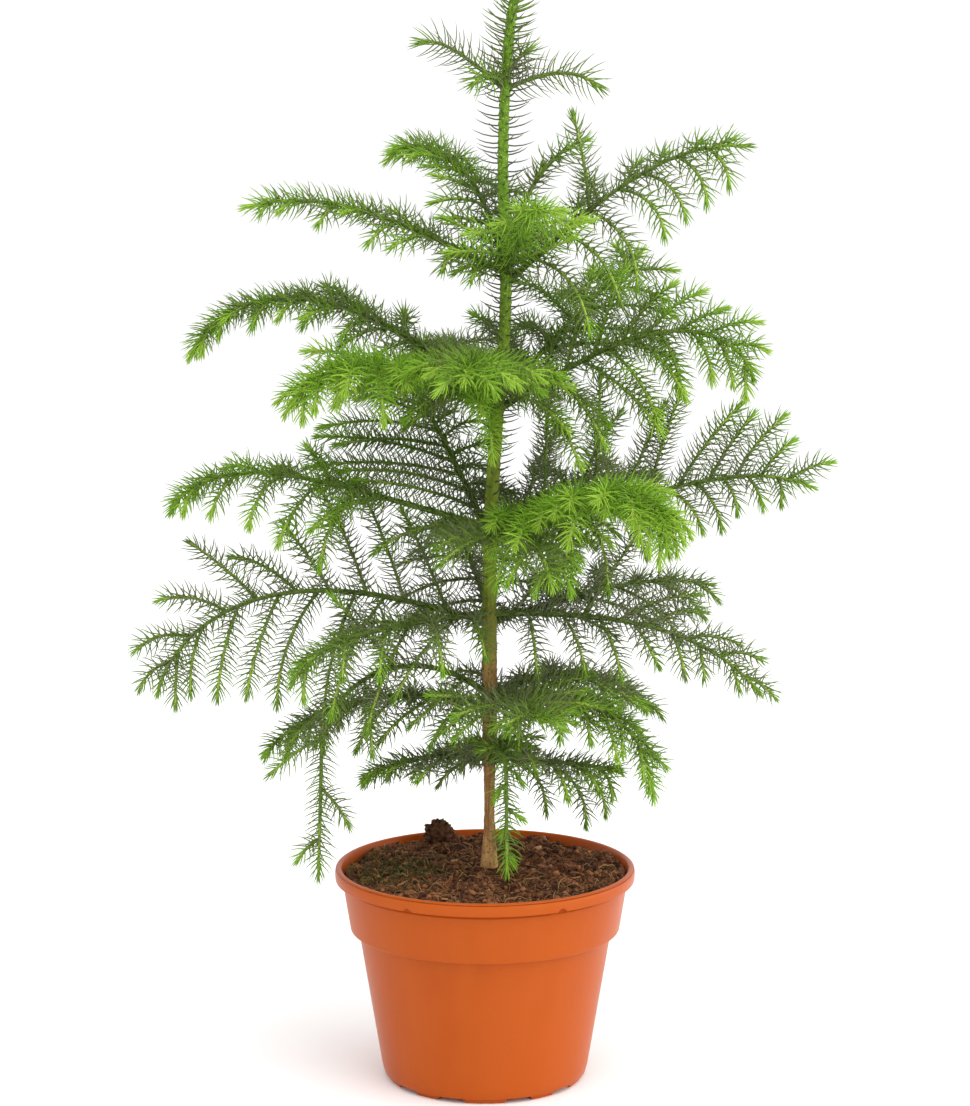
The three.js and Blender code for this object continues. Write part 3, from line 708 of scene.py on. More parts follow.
# %% Trunk line
# Height, sideways place and radius of the stem
TRUNK_LINE = np.array([
    (0.1208, 0.0025, 0.0052),
    (0.126, 0.0025, 0.0045),
    (0.217, 0.0026, 0.0041),
    (0.312, 0.0030, 0.0037),
    (0.384, 0.0072, 0.0035),
    (0.420, 0.0105, 0.0032),
    (0.453, 0.0115, 0.0031),
    (0.515, 0.0098, 0.0028),
    (0.559, 0.0112, 0.0027),
    (0.590, 0.0138, 0.0026),
    (0.604, 0.0156, 0.0022),
    (0.611, 0.0165, 0.0011),
])


def through(knots, values, places):
    """A smooth curve through values at knots: on each stretch the cubic with the mean slopes at its ends."""
    slopes = np.gradient(values, knots)
    low = np.clip(np.searchsorted(knots, places, side="right") - 1, 0, len(knots) - 2)
    width = knots[low + 1] - knots[low]
    t = np.clip((places - knots[low]) / width, 0, 1)
    start = (2 * t ** 3 - 3 * t ** 2 + 1) * values[low] + (t ** 3 - 2 * t ** 2 + t) * width * slopes[low]
    end = (3 * t ** 2 - 2 * t ** 3) * values[low + 1] + (t ** 3 - t ** 2) * width * slopes[low + 1]
    return start + end


def trunk_centre(height):
    """Points on the stem's centre line at some heights."""
    side = through(TRUNK_LINE[:, 0], TRUNK_LINE[:, 1], height)
    return np.stack([side, 0 * height, height], axis=-1)


def trunk_radius(height):
    """The stem's radius at some heights."""
    return through(TRUNK_LINE[:, 0], TRUNK_LINE[:, 2], height)


stem_foot = TRUNK_LINE[0, 0]
stem_tip = TRUNK_LINE[-1, 0]
print("stem from", stem_foot, "to", stem_tip)

# %% Trunk skin
TRUNK_SIDES = 40
TRUNK_STATIONS = 640
TRUNK_THINNEST = 0.0004
TIP_POINT = 0.0006
YOUNG_HEIGHTS = (0.24, 0.36)
BARK_WAVE = 5.0
# Relief of the old bark: radius of the circle that the stem counts as, climb per metre, depth and seed
OLD_BARK = [(8, 60, 0.00022, 41), (2, 900, 0.00012, 42)]
CUSHION_DEPTH = 0.00045
CUSHION_SPIRALS = (3, 5)
CUSHION_PITCH = 0.0050


def ridges_and_scars(turn, height):
    """Old bark: a walk round a circle on rolling ground, so that it meets itself, moved on with height."""
    relief = 0
    for radius, climb, depth, seed in OLD_BARK:
        x = radius * np.cos(turn) + 0 * height
        y = radius * np.sin(turn) + climb * height
        relief = relief + depth * rolling(x, y, BARK_WAVE, seed)
    return relief


def cushions(turn, along, spirals, pitch):
    """Raised diamonds where two sets of spirals cross: half the sum of two waves, without the hollows.

    spirals is the number of spirals each way, and pitch is the climb of a diamond along the stem.
    """
    left, right = spirals
    one = np.cos(left * turn + 2 * np.pi * along / pitch)
    other = np.cos(right * turn - 2 * np.pi * along / pitch)
    return np.clip(one + other, 0, 2) / 2


stem_height = np.linspace(stem_foot, stem_tip, TRUNK_STATIONS)[:, None]
stem_turn = all_round(TRUNK_SIDES)
young = ramp(stem_height, *YOUNG_HEIGHTS)
old_bark = ridges_and_scars(stem_turn, stem_height)
green_bark = CUSHION_DEPTH * cushions(stem_turn, stem_height, CUSHION_SPIRALS, CUSHION_PITCH)
stem_radius = trunk_radius(stem_height) + (1 - young) * old_bark + young * green_bark
stem_radius = np.maximum(stem_radius, TRUNK_THINNEST)
stem_rings = trunk_centre(stem_height[:, 0])[:, None] + turned(stem_radius, 0.0, stem_turn)
stem_poles = trunk_centre(np.array([stem_foot, stem_tip + TIP_POINT]))
print("trunk radius from", round(float(stem_radius.max()), 4), "to", round(float(stem_radius.min()), 4))

# %% Bark finish
OLIVE_HEIGHTS = (0.225, 0.275)
GREEN_HEIGHTS = (0.36, 0.47)

bark_finish = Finish("stem_bark", "7a6a3c", roughness=0.8, specular=0.3)
furrows = bark_finish.noise(260.0, detail=6.0, low=0.36, high=0.64, stretch=(1.0, 1.0, 0.2))
cracks = bark_finish.noise(700.0, detail=4.0, low=0.55, high=0.68)
streaks = bark_finish.noise(240.0, detail=5.0, low=0.38, high=0.62, stretch=(1.0, 1.0, 0.3))
patches = bark_finish.noise(320.0, detail=4.0, low=0.4, high=0.6)
pale_specks = bark_finish.noise(800.0, detail=2.0, low=0.6, high=0.68)
grain = bark_finish.noise(1400.0, detail=4.0, low=0.2, high=0.8, stretch=(1.0, 1.0, 0.4))
brown = bark_finish.mix(cracks, bark_finish.mix(furrows, "7d5630", "bf935c"), "5a3c22")
olive = bark_finish.mix(streaks, "5d6a1a", "768826")
green = bark_finish.mix(pale_specks, bark_finish.mix(patches, "4f6e12", "658c1e"), "9ab84a")
lower = bark_finish.mix(bark_finish.height(*OLIVE_HEIGHTS), brown, olive)
bark_finish.paint(bark_finish.mix(bark_finish.height(*GREEN_HEIGHTS), lower, green))
bark_finish.bump(grain, depth=0.00025)
piece("stem", skins(stem_rings[None], stem_poles[None]), [bark_finish.material], ["trunk"])

# %% [markdown]
# ## The rule of growth
# A shoot lies in the upright plane of its heading. Its slope goes from its rise at the foot to its droop
# at the tip, the later the higher its bend is. The same rule makes boughs and branchlets, and the CAD
# used it too, so what grows here keeps to the solids' reach. All shoots are worked out together: a
# shoot is a row in the arrays, and its path is the running sum of short strides.

# %% Shoots
SHOOT_STEPS = 24
STEEPEST = -88.0


class Shoots:
    """Many shoots at once. index picks the shoot and share is the place along it, in arrays that match."""

    def __init__(self, start, heading, length, rise, droop, bend):
        self.start = start
        self.heading = heading
        self.length = length
        self.rise = rise
        self.droop = droop
        self.bend = bend
        middle = (np.arange(SHOOT_STEPS) + 0.5) / SHOOT_STEPS
        rows = np.arange(len(length))[:, None]
        strides = self.direction(rows, middle[None]) * (length / SHOOT_STEPS)[:, None, None]
        walked = np.concatenate([0 * strides[:, :1], np.cumsum(strides, axis=1)], axis=1)
        self.points = start[:, None] + walked

    def rows(self):
        """The arrays that the shoots were made from."""
        return self.start, self.heading, self.length, self.rise, self.droop, self.bend

    def chosen(self, mask):
        """The shoots that a mask picks."""
        return Shoots(*[values[mask] for values in self.rows()])

    def direction(self, index, share):
        """Unit vectors: level along the heading times cos(slope), and up times sin(slope)."""
        late = np.clip(share, 0, 1) ** self.bend[index]
        slope = self.rise[index] + (self.droop[index] - self.rise[index]) * late
        slope = np.radians(np.maximum(slope, STEEPEST))
        turn = np.radians(self.heading[index])
        return np.stack([np.cos(turn) * np.cos(slope), np.sin(turn) * np.cos(slope), np.sin(slope)], axis=-1)

    def side(self, index):
        """Level unit vectors to the left of the heading."""
        turn = np.radians(self.heading[index])
        return np.stack([-np.sin(turn), np.cos(turn), 0 * turn], axis=-1)

    def above(self, index, share):
        """Unit vectors square to the shoot on its upper side: direction cross side."""
        return np.cross(self.direction(index, share), self.side(index))

    def at(self, index, share):
        """Points along the shoots, straight between the ends of strides."""
        place = np.clip(share, 0, 1) * SHOOT_STEPS
        step = np.minimum(place.astype(int), SHOOT_STEPS - 1)
        near = self.points[index, step]
        return near + (self.points[index, step + 1] - near) * (place - step)[..., None]


print("a shoot is", SHOOT_STEPS, "strides long")

# %% [markdown]
# ## Whorls
# Norfolk Island pines grow a ring of boughs each season. The table gives each whorl from the top, and
# each of its boughs, with the CAD's values. Three values are new: how close a whorl's needles and a
# bough's branchlets stand, and how fresh a bough's needles are, from the dark old growth to the
# yellow-green new growth. The freshness also holds painted light: boughs at the front, towards the
# lamps, are given higher values and lighter greens, and boughs at the back, in the shade, lower ones.

# %% Whorls
# Whorl: height, radius of a bough at the stem, reach of needles, longest branchlet, pitch of needles
# Bough: name, azimuth, length, rise, droop, bend, then its branchlets: twist, size, hang, spacing,
# and freshness, which is partly painted light and shade
WHORLS = [
    ((0.559, 0.0013, 0.0150, 0.0, 0.00062), [
        ("front", 238, 0.034, 9, -34, 2.0, 0, 0, 0, 0.010, 0.52),
        ("left", 178, 0.054, 39, -13, 4.0, 0, 0, 0, 0.010, 0.34),
        ("back", 62, 0.034, 40, 10, 1.5, 0, 0, 0, 0.010, 0.32),
        ("right", 0, 0.054, 24, -44, 2.0, 0, 0, 0, 0.010, 0.34),
    ]),
    ((0.453, 0.0017, 0.0116, 0.046, 0.00064), [
        ("left", 186, 0.150, 27, -17, 2.5, 10, 0.7, 40, 0.009, 0.54),
        ("back_left", 124, 0.154, 75, -25, 1.2, 0, 0.7, 40, 0.006, 0.56),
        ("back_right", 45, 0.103, 80, 10, 1.2, 50, 0.35, 10, 0.030, 0.44),
        ("right", 6, 0.158, 42, -7, 2.8, -35, 1.1, 70, 0.0095, 0.48),
        ("front", 280, 0.105, 34, 0, 1.9, 0, 0.9, 15, 0.010, 0.74),
    ]),
    ((0.384, 0.0020, 0.0106, 0.054, 0.00050), [
        ("left", 173, 0.200, 35, -67, 2.5, 10, 0.75, 42, 0.007, 0.53),
        ("back", 105, 0.165, 20, -35, 2.4, 0, 1.0, 42, 0.012, 0.42),
        ("back_right", 46, 0.142, 34, 30, 2.0, -10, 1.35, 42, 0.0095, 0.54),
        ("right", 353, 0.162, 31, -75, 3.3, -45, 1.2, 42, 0.0080, 0.60),
        ("front", 262, 0.138, 24, -25, 2.4, 0, 1.0, 42, 0.008, 0.60),
        ("front_left", 213, 0.142, 27, -52, 2.4, 0, 1.15, 42, 0.006, 0.78),
    ]),
    ((0.312, 0.0020, 0.0106, 0.062, 0.00052), [
        ("left", 181, 0.189, 16, -63, 4.8, 15, 1.0, 50, 0.0105, 0.60),
        ("back_left", 118, 0.145, 42, 22, 2.6, 0, 1.0, 45, 0.0058, 0.50),
        ("back_right", 53, 0.170, 21, -12, 0.9, -22, 0.95, 40, 0.0255, 0.40),
        ("right", 7, 0.187, 15, -26, 4.8, -60, 1.05, 50, 0.0080, 0.42),
        ("front_right", 316, 0.150, 20, -115, 5.0, 0, 0.95, 50, 0.0046, 0.78),
        ("front", 288, 0.112, 14, -60, 2.6, 0, 0.8, 55, 0.010, 0.50),
    ]),
    ((0.264, 0.0020, 0.0106, 0.062, 0.00060), [
        ("front_left", 211, 0.132, -2, -62, 4.5, 0, 0.95, 50, 0.013, 0.48),
        ("left", 185, 0.211, 17, -75, 2.2, 48, 1.40, 40, 0.0105, 0.40),
        ("back", 100, 0.178, 20, -25, 2.2, 0, 0.8, 40, 0.013, 0.38),
        ("back_right", 38, 0.168, 9, -15, 2.2, -10, 1.0, 40, 0.015, 0.36),
        ("right", 354, 0.162, 0, -52, 2.3, -30, 0.95, 35, 0.010, 0.34),
    ]),
    ((0.217, 0.0017, 0.0102, 0.050, 0.00060), [
        ("front_left", 204, 0.200, 37, -197, 1.45, 75, 0.95, 15, 0.028, 0.42),
        ("left", 168, 0.142, 8, -51, 1.6, 0, 1.0, 45, 0.010, 0.42),
        ("back_right", 45, 0.145, 10, -45, 1.5, 0, 1.0, 45, 0.011, 0.36),
        ("right", 338, 0.124, 15, -98, 1.85, 0, 0.9, 35, 0.0065, 0.56),
        ("front_right", 288, 0.092, 6, -6, 2.1, 0, 1.1, 12, 0.0055, 0.46),
    ]),
    ((0.181, 0.0015, 0.0100, 0.038, 0.00060), [
        ("left", 178, 0.075, 4, -42, 1.9, -10, 1.1, 25, 0.0085, 0.38),
        ("back", 95, 0.090, 15, -50, 1.5, 0, 1.1, 45, 0.010, 0.36),
        ("right", 336, 0.078, 2, -11, 4.0, 25, 1.5, 75, 0.0085, 0.42),
        ("front", 280, 0.120, 57, -260, 1.53, 0, 0.45, 30, 0.012, 0.52),
    ]),
]
TIERS = range(1, len(WHORLS) + 1)
bough_names = [(tier, row[0]) for tier, (_, rows) in zip(TIERS, WHORLS) for row in rows]
print("boughs of each whorl:", [len(rows) for _, rows in WHORLS])

# %% Boughs as rows of arrays
WHORL_STAGGER = 0.003

bough_tier = np.array([tier for tier, _ in bough_names])
bough_order = np.concatenate([np.arange(len(rows)) for _, rows in WHORLS])
whorl_values = np.array([values for values, _ in WHORLS])[bough_tier - 1]
height, limb_radius, reach, longest, needle_pitch = whorl_values.T
bough_values = np.array([row[1:] for _, rows in WHORLS for row in rows], dtype=float)
# A bough's freshness: partly real growth, partly painted light on the front boughs and painted shade on the
# back ones
azimuth, length, rise, droop, bend, twist, size, hang, spacing, fresh_and_lit = bough_values.T
foot_height = height + np.where(bough_order % 2, -WHORL_STAGGER, WHORL_STAGGER)
boughs = Shoots(trunk_centre(foot_height), azimuth, length, rise, droop, bend)
print(len(bough_names), "boughs,", round(float(boughs.length.sum()), 2), "m in all")

# %% [markdown]
# ## Boughs
# A bough is a thin limb that tapers to its tip, swells where it leaves the stem, and has the same leaf
# cushions as the stem. Its section is carried along the shoot's path. The CAD ends the limb where the
# needles begin; here it runs on to its tip, because the real one does, and turns green on the way.

# %% Limb sections
LIMB_SIDES = 12
LIMB_STATIONS = 150
LIMB_TAPER = 0.68
TIP_RADIUS = 0.0008
SWELL = 0.35
SWELL_REACH = 0.006
LIMB_CUSHION = 0.22
LIMB_SPIRALS = (2, 3)
LIMB_PITCH = 0.0042


def tubes(shoots, radii):
    """A round section of some radius carried along each shoot.

    A ring point is the centre plus the radius times side cos(angle) + above sin(angle). radii is
    (shoots, stations, sides), and the stations stand evenly from foot to tip.
    """
    count, stations, sides = radii.shape
    index = np.repeat(np.arange(count)[:, None], stations, axis=1)
    share = np.repeat(np.linspace(0, 1, stations)[None], count, axis=0)
    centre = shoots.at(index, share)
    arms = spokes(shoots.side(index), shoots.above(index, share), all_round(sides))
    return skins(centre[:, :, None] + radii[..., None] * arms, centre[:, [0, -1]])


def banded(radii, limits):
    """Material numbers of the faces of some tubes: one more past each limit, a share of the length."""
    count, stations, sides = radii.shape
    band = np.searchsorted(limits, np.linspace(0, 1, stations - 1))
    fans = np.repeat([band[0], band[-1]], sides)
    return np.concatenate([np.tile(np.repeat(band, sides), count), np.tile(fans, count)])


def limb_radii(base, lengths):
    """From the base radius to that of a tip, by the share to a power, with a swell and leaf cushions."""
    share = np.linspace(0, 1, LIMB_STATIONS)[None, :, None]
    walked = share * lengths[:, None, None]
    plain = base[:, None, None] + (TIP_RADIUS - base[:, None, None]) * share ** LIMB_TAPER
    swell = 1 + SWELL * np.exp(-walked / SWELL_REACH)
    cushion = cushions(all_round(LIMB_SIDES), walked, LIMB_SPIRALS, LIMB_PITCH)
    return plain * swell * (1 + LIMB_CUSHION * cushion)


print("a limb has", LIMB_STATIONS, "rings of", LIMB_SIDES, "points")

# %% Limbs of each whorl
# Shares of a limb's length where its bark turns green, and then a paler green
LIMB_BANDS = [0.45, 0.85]
LIMB_GREENS = ["5a7226", "7f9836"]

limb_finish = Finish("bough_bark", "6f7a34", roughness=0.75, specular=0.3)
mottle = limb_finish.noise(300.0, detail=5.0, low=0.38, high=0.62)
scars = limb_finish.noise(900.0, detail=3.0, low=0.56, high=0.68)
limb_finish.paint(limb_finish.mix(scars, limb_finish.mix(mottle, "3d5216", "5a7425"), "4a3b1d"))
limb_finish.bump(limb_finish.noise(1500.0, detail=3.0, low=0.2, high=0.8), depth=0.0002)
green_limbs = plain_finishes("green_limb", LIMB_GREENS, roughness=0.65, specular=0.3)
limb_finishes = [limb_finish.material] + green_limbs


def tier_nodes(kind, tier):
    """The CAD nodes of one kind in one whorl."""
    return [name for name in node_names if name.startswith(f"{kind}_tier{tier}_")]


for tier in TIERS:
    mine = bough_tier == tier
    radii = limb_radii(limb_radius[mine], boughs.length[mine])
    limb_shape = tubes(boughs.chosen(mine), radii)
    limb_tints = banded(radii, LIMB_BANDS)
    # The topmost whorl is this season's, so it is green from the foot
    if tier == 1:
        limb_tints = np.maximum(limb_tints, 1)
    stood_for = tier_nodes("bough", tier) or tier_nodes("foliage", tier)
    piece(f"limbs_tier{tier}", limb_shape, limb_finishes, stood_for, limb_tints)

# %% [markdown]
# ## Branchlets
# Branchlets stand in two ranks along a bough, left and right by turns. They lean forward, are longest
# a third of the way out, and hang at their ends. The CAD sets them far apart; here each bough has its
# own close spacing, and small seeded differences keep them from looking combed. A few boughs have one
# rank longer than the other, one is bare near the stem, and one has a shoot that stands up.

# %% Branchlet places
BRANCHLET_FIRST = 0.05
BRANCHLET_LAST = 0.95
PLACE_JITTER = 0.25
growth = np.random.default_rng(404)


def either_way(amount, count):
    """Numbers within an amount of zero, to either side."""
    return growth.uniform(-amount, amount, count)


def numbered(counts):
    """For some things on each shoot: the shoot of each thing, and its number on that shoot."""
    shoot = np.repeat(np.arange(len(counts)), counts)
    first = np.repeat(np.cumsum(counts) - counts, counts)
    return shoot, np.arange(len(shoot)) - first


span = BRANCHLET_LAST - BRANCHLET_FIRST
twig_count = np.where(longest * size > 0, np.round(boughs.length * span / spacing), 0).astype(int)
parent, order = numbered(twig_count)
twig_place = order + 0.5 + either_way(PLACE_JITTER, len(parent))
twig_share = BRANCHLET_FIRST + span * twig_place / twig_count[parent]
twig_side = np.where(order % 2, 1.0, -1.0)
print("places for branchlets:", len(parent))

# %% Branchlet directions
BRANCHLET_INNER_LEAN = 70.0
BRANCHLET_OUTER_LEAN = 45.0
LEAN_JITTER = 11.0
TWIST_JITTER = 14.0
HANG_JITTER = 16.0
STIFFENING = 0.65
STIFF_RISE = 50.0

twig_lean = BRANCHLET_INNER_LEAN + (BRANCHLET_OUTER_LEAN - BRANCHLET_INNER_LEAN) * twig_share
twig_lean = np.radians(twig_lean + either_way(LEAN_JITTER, len(parent)))
twig_turn = np.radians(twist[parent] + either_way(TWIST_JITTER, len(parent)))
twig_out = (boughs.above(parent, twig_share) * np.sin(twig_turn)[:, None]
            - boughs.side(parent) * np.cos(twig_turn)[:, None])
twig_way = (boughs.direction(parent, twig_share) * np.cos(twig_lean)[:, None]
            + twig_out * (twig_side * np.sin(twig_lean))[:, None])
twig_heading = np.degrees(np.arctan2(twig_way[:, 1], twig_way[:, 0]))
twig_rise = np.degrees(np.arcsin(np.clip(twig_way[:, 2], -1, 1)))
# A branchlet that rises steeply is held stiffly, and hangs less
stiff = 1 - STIFFENING * np.clip(twig_rise / STIFF_RISE, 0, 1)
twig_hang = hang[parent] * stiff + either_way(HANG_JITTER, len(parent))
print("mean rise and hang of a branchlet:", np.round([twig_rise.mean(), twig_hang.mean()], 1).tolist())

# %% Branchlet lengths
BRANCHLET_PEAK = 0.30
BRANCHLET_INNER_SHARE = 0.85
BRANCHLET_OUTER_SHARE = 0.24
LENGTH_JITTER = 0.16
# Whorl and bough, then the share by which its left rank is longer and its right rank shorter than usual
LOPSIDED = [(2, "right", -0.30), (4, "back_left", 0.40), (4, "right", 0.35), (5, "right", 0.30)]


def by_bough(rows):
    """One value for each bough: the last one in its row, or 0 where it has no row."""
    values = np.zeros(len(bough_names))
    values[[bough_names.index(row[:2]) for row in rows]] = [row[2] for row in rows]
    return values


inner = BRANCHLET_INNER_SHARE + (1 - BRANCHLET_INNER_SHARE) * twig_share / BRANCHLET_PEAK
outer = 1 + (BRANCHLET_OUTER_SHARE - 1) * (twig_share - BRANCHLET_PEAK) / (1 - BRANCHLET_PEAK)
fullness = np.where(twig_share < BRANCHLET_PEAK, inner, outer)
twig_length = longest[parent] * size[parent] * fullness * (1 + either_way(LENGTH_JITTER, len(parent)))
twig_length = twig_length * (1 - by_bough(LOPSIDED)[parent] * twig_side)
print("longest branchlet:", round(float(twig_length.max()), 3))

# %% Branchlet shoots
BRANCHLET_BEND = 1.2
# Whorl and bough, then the share along it where its branchlets begin, if not at the usual place
LATE = [(4, "left", 0.30)]
# Whorl and bough, then the share along it, heading, length, rise and droop of a shoot that stands up
OFFSHOOTS = [(2, "right", 0.39, 165, 0.052, 84, 74)]

grows = twig_share >= by_bough(LATE)[parent]
extra_parent = [bough_names.index(row[:2]) for row in OFFSHOOTS]
extra_share, *extra_rows = np.array([row[2:] for row in OFFSHOOTS]).T
twig_rows = [twig_heading, twig_length, twig_rise, twig_rise - twig_hang]
parent = np.append(parent[grows], extra_parent)
twig_share = np.append(twig_share[grows], extra_share)
twig_rows = [np.append(values[grows], extra) for values, extra in zip(twig_rows, extra_rows)]
branchlets = Shoots(boughs.at(parent, twig_share), *twig_rows, np.full(len(parent), BRANCHLET_BEND))
print(len(parent), "branchlets,", round(float(branchlets.length.sum()), 1), "m in all")

# %% Twigs of each whorl
TWIG_SIDES = 5
TWIG_STATIONS = 12
TWIG_RADIUS = 0.00095
# Shares of a twig's length where it turns to the next, paler green
TWIG_BANDS = [0.35, 0.75]
TWIG_GREENS = ["5a7226", "728c30", "92a944"]

twig_finishes = plain_finishes("green_twig", TWIG_GREENS, roughness=0.65, specular=0.3)
twig_taper = TWIG_RADIUS + (TIP_RADIUS - TWIG_RADIUS) * np.linspace(0, 1, TWIG_STATIONS)
for tier in TIERS:
    mine = bough_tier[parent] == tier
    if mine.any():
        radii = np.broadcast_to(twig_taper[None, :, None], (mine.sum(), TWIG_STATIONS, TWIG_SIDES))
        twig_shape = tubes(branchlets.chosen(mine), radii)
        twig_tints = banded(radii, TWIG_BANDS)
        stood_for = tier_nodes("foliage", tier)
        piece(f"twigs_tier{tier}", twig_shape, twig_finishes, stood_for, twig_tints)

# %% [markdown]
# ## Needles
# A needle is a slim awl that leaves its shoot at a steep angle and curves towards the shoot's tip. A
# particle system could scatter them, but an export loses particles, so each needle is a closed skin of
# twenty-four triangles: four rings of three points between two poles. Needles stand round a shoot by the
# golden angle, nearer together at its two sides, and close up into a pale tuft at its tip.

# %% Needle shape
NEEDLE_STATIONS = np.array([0.08, 0.34, 0.60, 0.82])
NEEDLE_SWELL = np.array([1.12, 1.00, 0.80, 0.46])
NEEDLE_SIDES = np.radians([90.0, 210.0, 330.0])


def needle_skins(foot, axis, out, long, thick, open_from, open_to):
    """Curved awls. The angle between needle and shoot goes evenly from open_from to open_to.

    At a share t of the needle, with the angle a, the point is the foot, plus the shoot's axis times
    the sum of cos(a) so far, plus the outward arm times the sum of sin(a) so far. Both sums have a
    closed form because a is straight in t. The section is a triangle with its keel towards the tip.
    """
    start = np.radians(open_from)[:, None]
    change = np.radians(open_to)[:, None] - start
    share = np.concatenate([[0.0], NEEDLE_STATIONS, [1.0]])[None]
    angle = start + change * share
    ahead = long[:, None] * (np.sin(angle) - np.sin(start)) / change
    away = long[:, None] * (np.cos(start) - np.cos(angle)) / change
    spine = foot[:, None] + ahead[..., None] * axis[:, None] + away[..., None] * out[:, None]
    slope = angle[:, 1:-1, None]
    keel = axis[:, None] * np.sin(slope) - out[:, None] * np.cos(slope)
    wide = np.cross(axis, out)[:, None]
    corners = spokes(wide, keel, NEEDLE_SIDES)
    rings = spine[:, 1:-1, None] + thick * NEEDLE_SWELL[:, None, None] * corners
    return skins(rings, spine[:, [0, -1]])


print("a needle has", 2 * len(NEEDLE_SIDES) * len(NEEDLE_STATIONS), "triangles")

# %% Needle places
BARE_FOOT = 0.02
FEWEST_NEEDLES = 12
PLACE_RANGE = (0.2, 0.8)
TIP_CROWDING = 1.05
GOLDEN_ANGLE = 137.5
TURN_JITTER = 0.12
SIDE_FAVOUR = 0.15
UPTURN = 0.10


def square_to(axis, arm):
    """Unit arms square to an axis: the arm less its part along the axis, divided by its length."""
    return unit(arm - axis * (arm * axis).sum(axis=1, keepdims=True))


shoots = Shoots(*[np.concatenate(pair) for pair in zip(boughs.rows(), branchlets.rows())])
owner = np.concatenate([np.arange(len(bough_names)), parent])
needle_count = np.round(shoots.length * (1 - BARE_FOOT) / needle_pitch[owner])
needle_count = np.maximum(needle_count, FEWEST_NEEDLES).astype(int)
bearer, needle_order = numbered(needle_count)
along = (needle_order + growth.uniform(*PLACE_RANGE, len(bearer))) / needle_count[bearer]
needle_share = BARE_FOOT + (1 - BARE_FOOT) * (1 - (1 - along) ** TIP_CROWDING)
needle_turn = np.radians(GOLDEN_ANGLE) * needle_order + either_way(TURN_JITTER, len(bearer))
needle_turn = needle_turn - SIDE_FAVOUR * np.sin(2 * needle_turn)
needle_axis = shoots.direction(bearer, needle_share)
needle_out = (shoots.side(bearer) * np.cos(needle_turn)[:, None]
              + shoots.above(bearer, needle_share) * np.sin(needle_turn)[:, None])
needle_out = square_to(needle_axis, needle_out + UPTURN * UP)
print(len(bearer), "needles on", len(owner), "shoots")

# %% Needle lengths and angles
LENGTH_FACTOR = 1.14
NEEDLE_JITTER = 0.12
TIP_LENGTH = 0.3
GROWN_REACH = 0.012
GROWN_LEAD = 0.5
OPEN_OLD = 80.0
OPEN_TIP = 6.0
OPEN_REACH = 0.015
OPEN_LEAD = 0.2
OPEN_JITTER = 5.0

to_tip = (1 - needle_share) * shoots.length[bearer]
grown = TIP_LENGTH + (1 - TIP_LENGTH) * ramp(to_tip, -GROWN_LEAD * GROWN_REACH, GROWN_REACH)
opened = ramp(to_tip, -OPEN_LEAD * OPEN_REACH, OPEN_REACH)
uneven = 1 + either_way(NEEDLE_JITTER, len(bearer))
needle_length = LENGTH_FACTOR * reach[owner[bearer]] * grown * uneven
needle_open = OPEN_TIP + (OPEN_OLD - OPEN_TIP) * opened + either_way(OPEN_JITTER, len(bearer))
print("needles are", round(float(needle_length.mean()), 4), "long on average")

# %% [markdown]
# ### Needle colours
# Colour has a place on this plant: old needles by the stem are dark, and tips are yellow-green. A
# pattern would be lost on so many small faces, so every spray, a stretch of eight millimetres of one
# shoot, gets one of a few plain greens, from how fresh its bough is, with the painted light in that
# value, and how near it is to a tip. The dull grey-greens at the dark end are partly old growth and
# partly painted shade, the grey look of needles in shadow against the white.

# %% Needle colours
# Dull grey-green to yellow-green: the grey of the dull end is painted shade on the old needles
NEEDLE_GREENS_AND_SHADES = ["7b8067", "747b59", "6b7847", "667f33", "688d24", "77a325", "90b638"]
SPRAY_LENGTH = 0.008
SPRAY_LUCK = 0.07
FOOT_WEIGHT = 0.6
TIP_GLOW = 0.18
FRESH_GLOW = 0.14
GLOW_FADE = 1.1
SHADE = 0.03
OUTWARD_GAIN = 0.24


def green_number(freshness, greens):
    """The number of a green: the freshness, from 0 to 1, times how many greens there are."""
    return np.clip(freshness * len(greens), 0, len(greens) - 1).astype(int)


spray = (to_tip / SPRAY_LENGTH).astype(int)
spray_luck = growth.normal(0, SPRAY_LUCK, (len(owner), spray.max() + 1))[bearer, spray]
foot_share = np.concatenate([np.zeros(len(bough_names)), twig_share])[bearer]
on_twig = FOOT_WEIGHT * foot_share + (1 - FOOT_WEIGHT) * needle_share
outward = np.where(bearer < len(bough_names), needle_share, on_twig)
# Partly painted light: the bough's own value, higher on the lit front boughs and lower on the shaded back
# ones
bough_fresh_and_lit = fresh_and_lit[owner[bearer]]
tip_glow = (TIP_GLOW + FRESH_GLOW * bough_fresh_and_lit) * np.exp(-GLOW_FADE * spray)
freshness = bough_fresh_and_lit - SHADE + OUTWARD_GAIN * (outward - 0.5) + tip_glow + spray_luck
tint = green_number(freshness, NEEDLE_GREENS_AND_SHADES)
print("needles of each green:", np.bincount(tint, minlength=len(NEEDLE_GREENS_AND_SHADES)).tolist())

# %% [markdown]
# ### Needles as pieces
# One piece for all needles would be too large to export whole, so each whorl has two: one for the boughs
# at the front and one for those at the back.

# %% Needles of each whorl
NEEDLE_RADIUS = 0.00041
CURL = 0.55

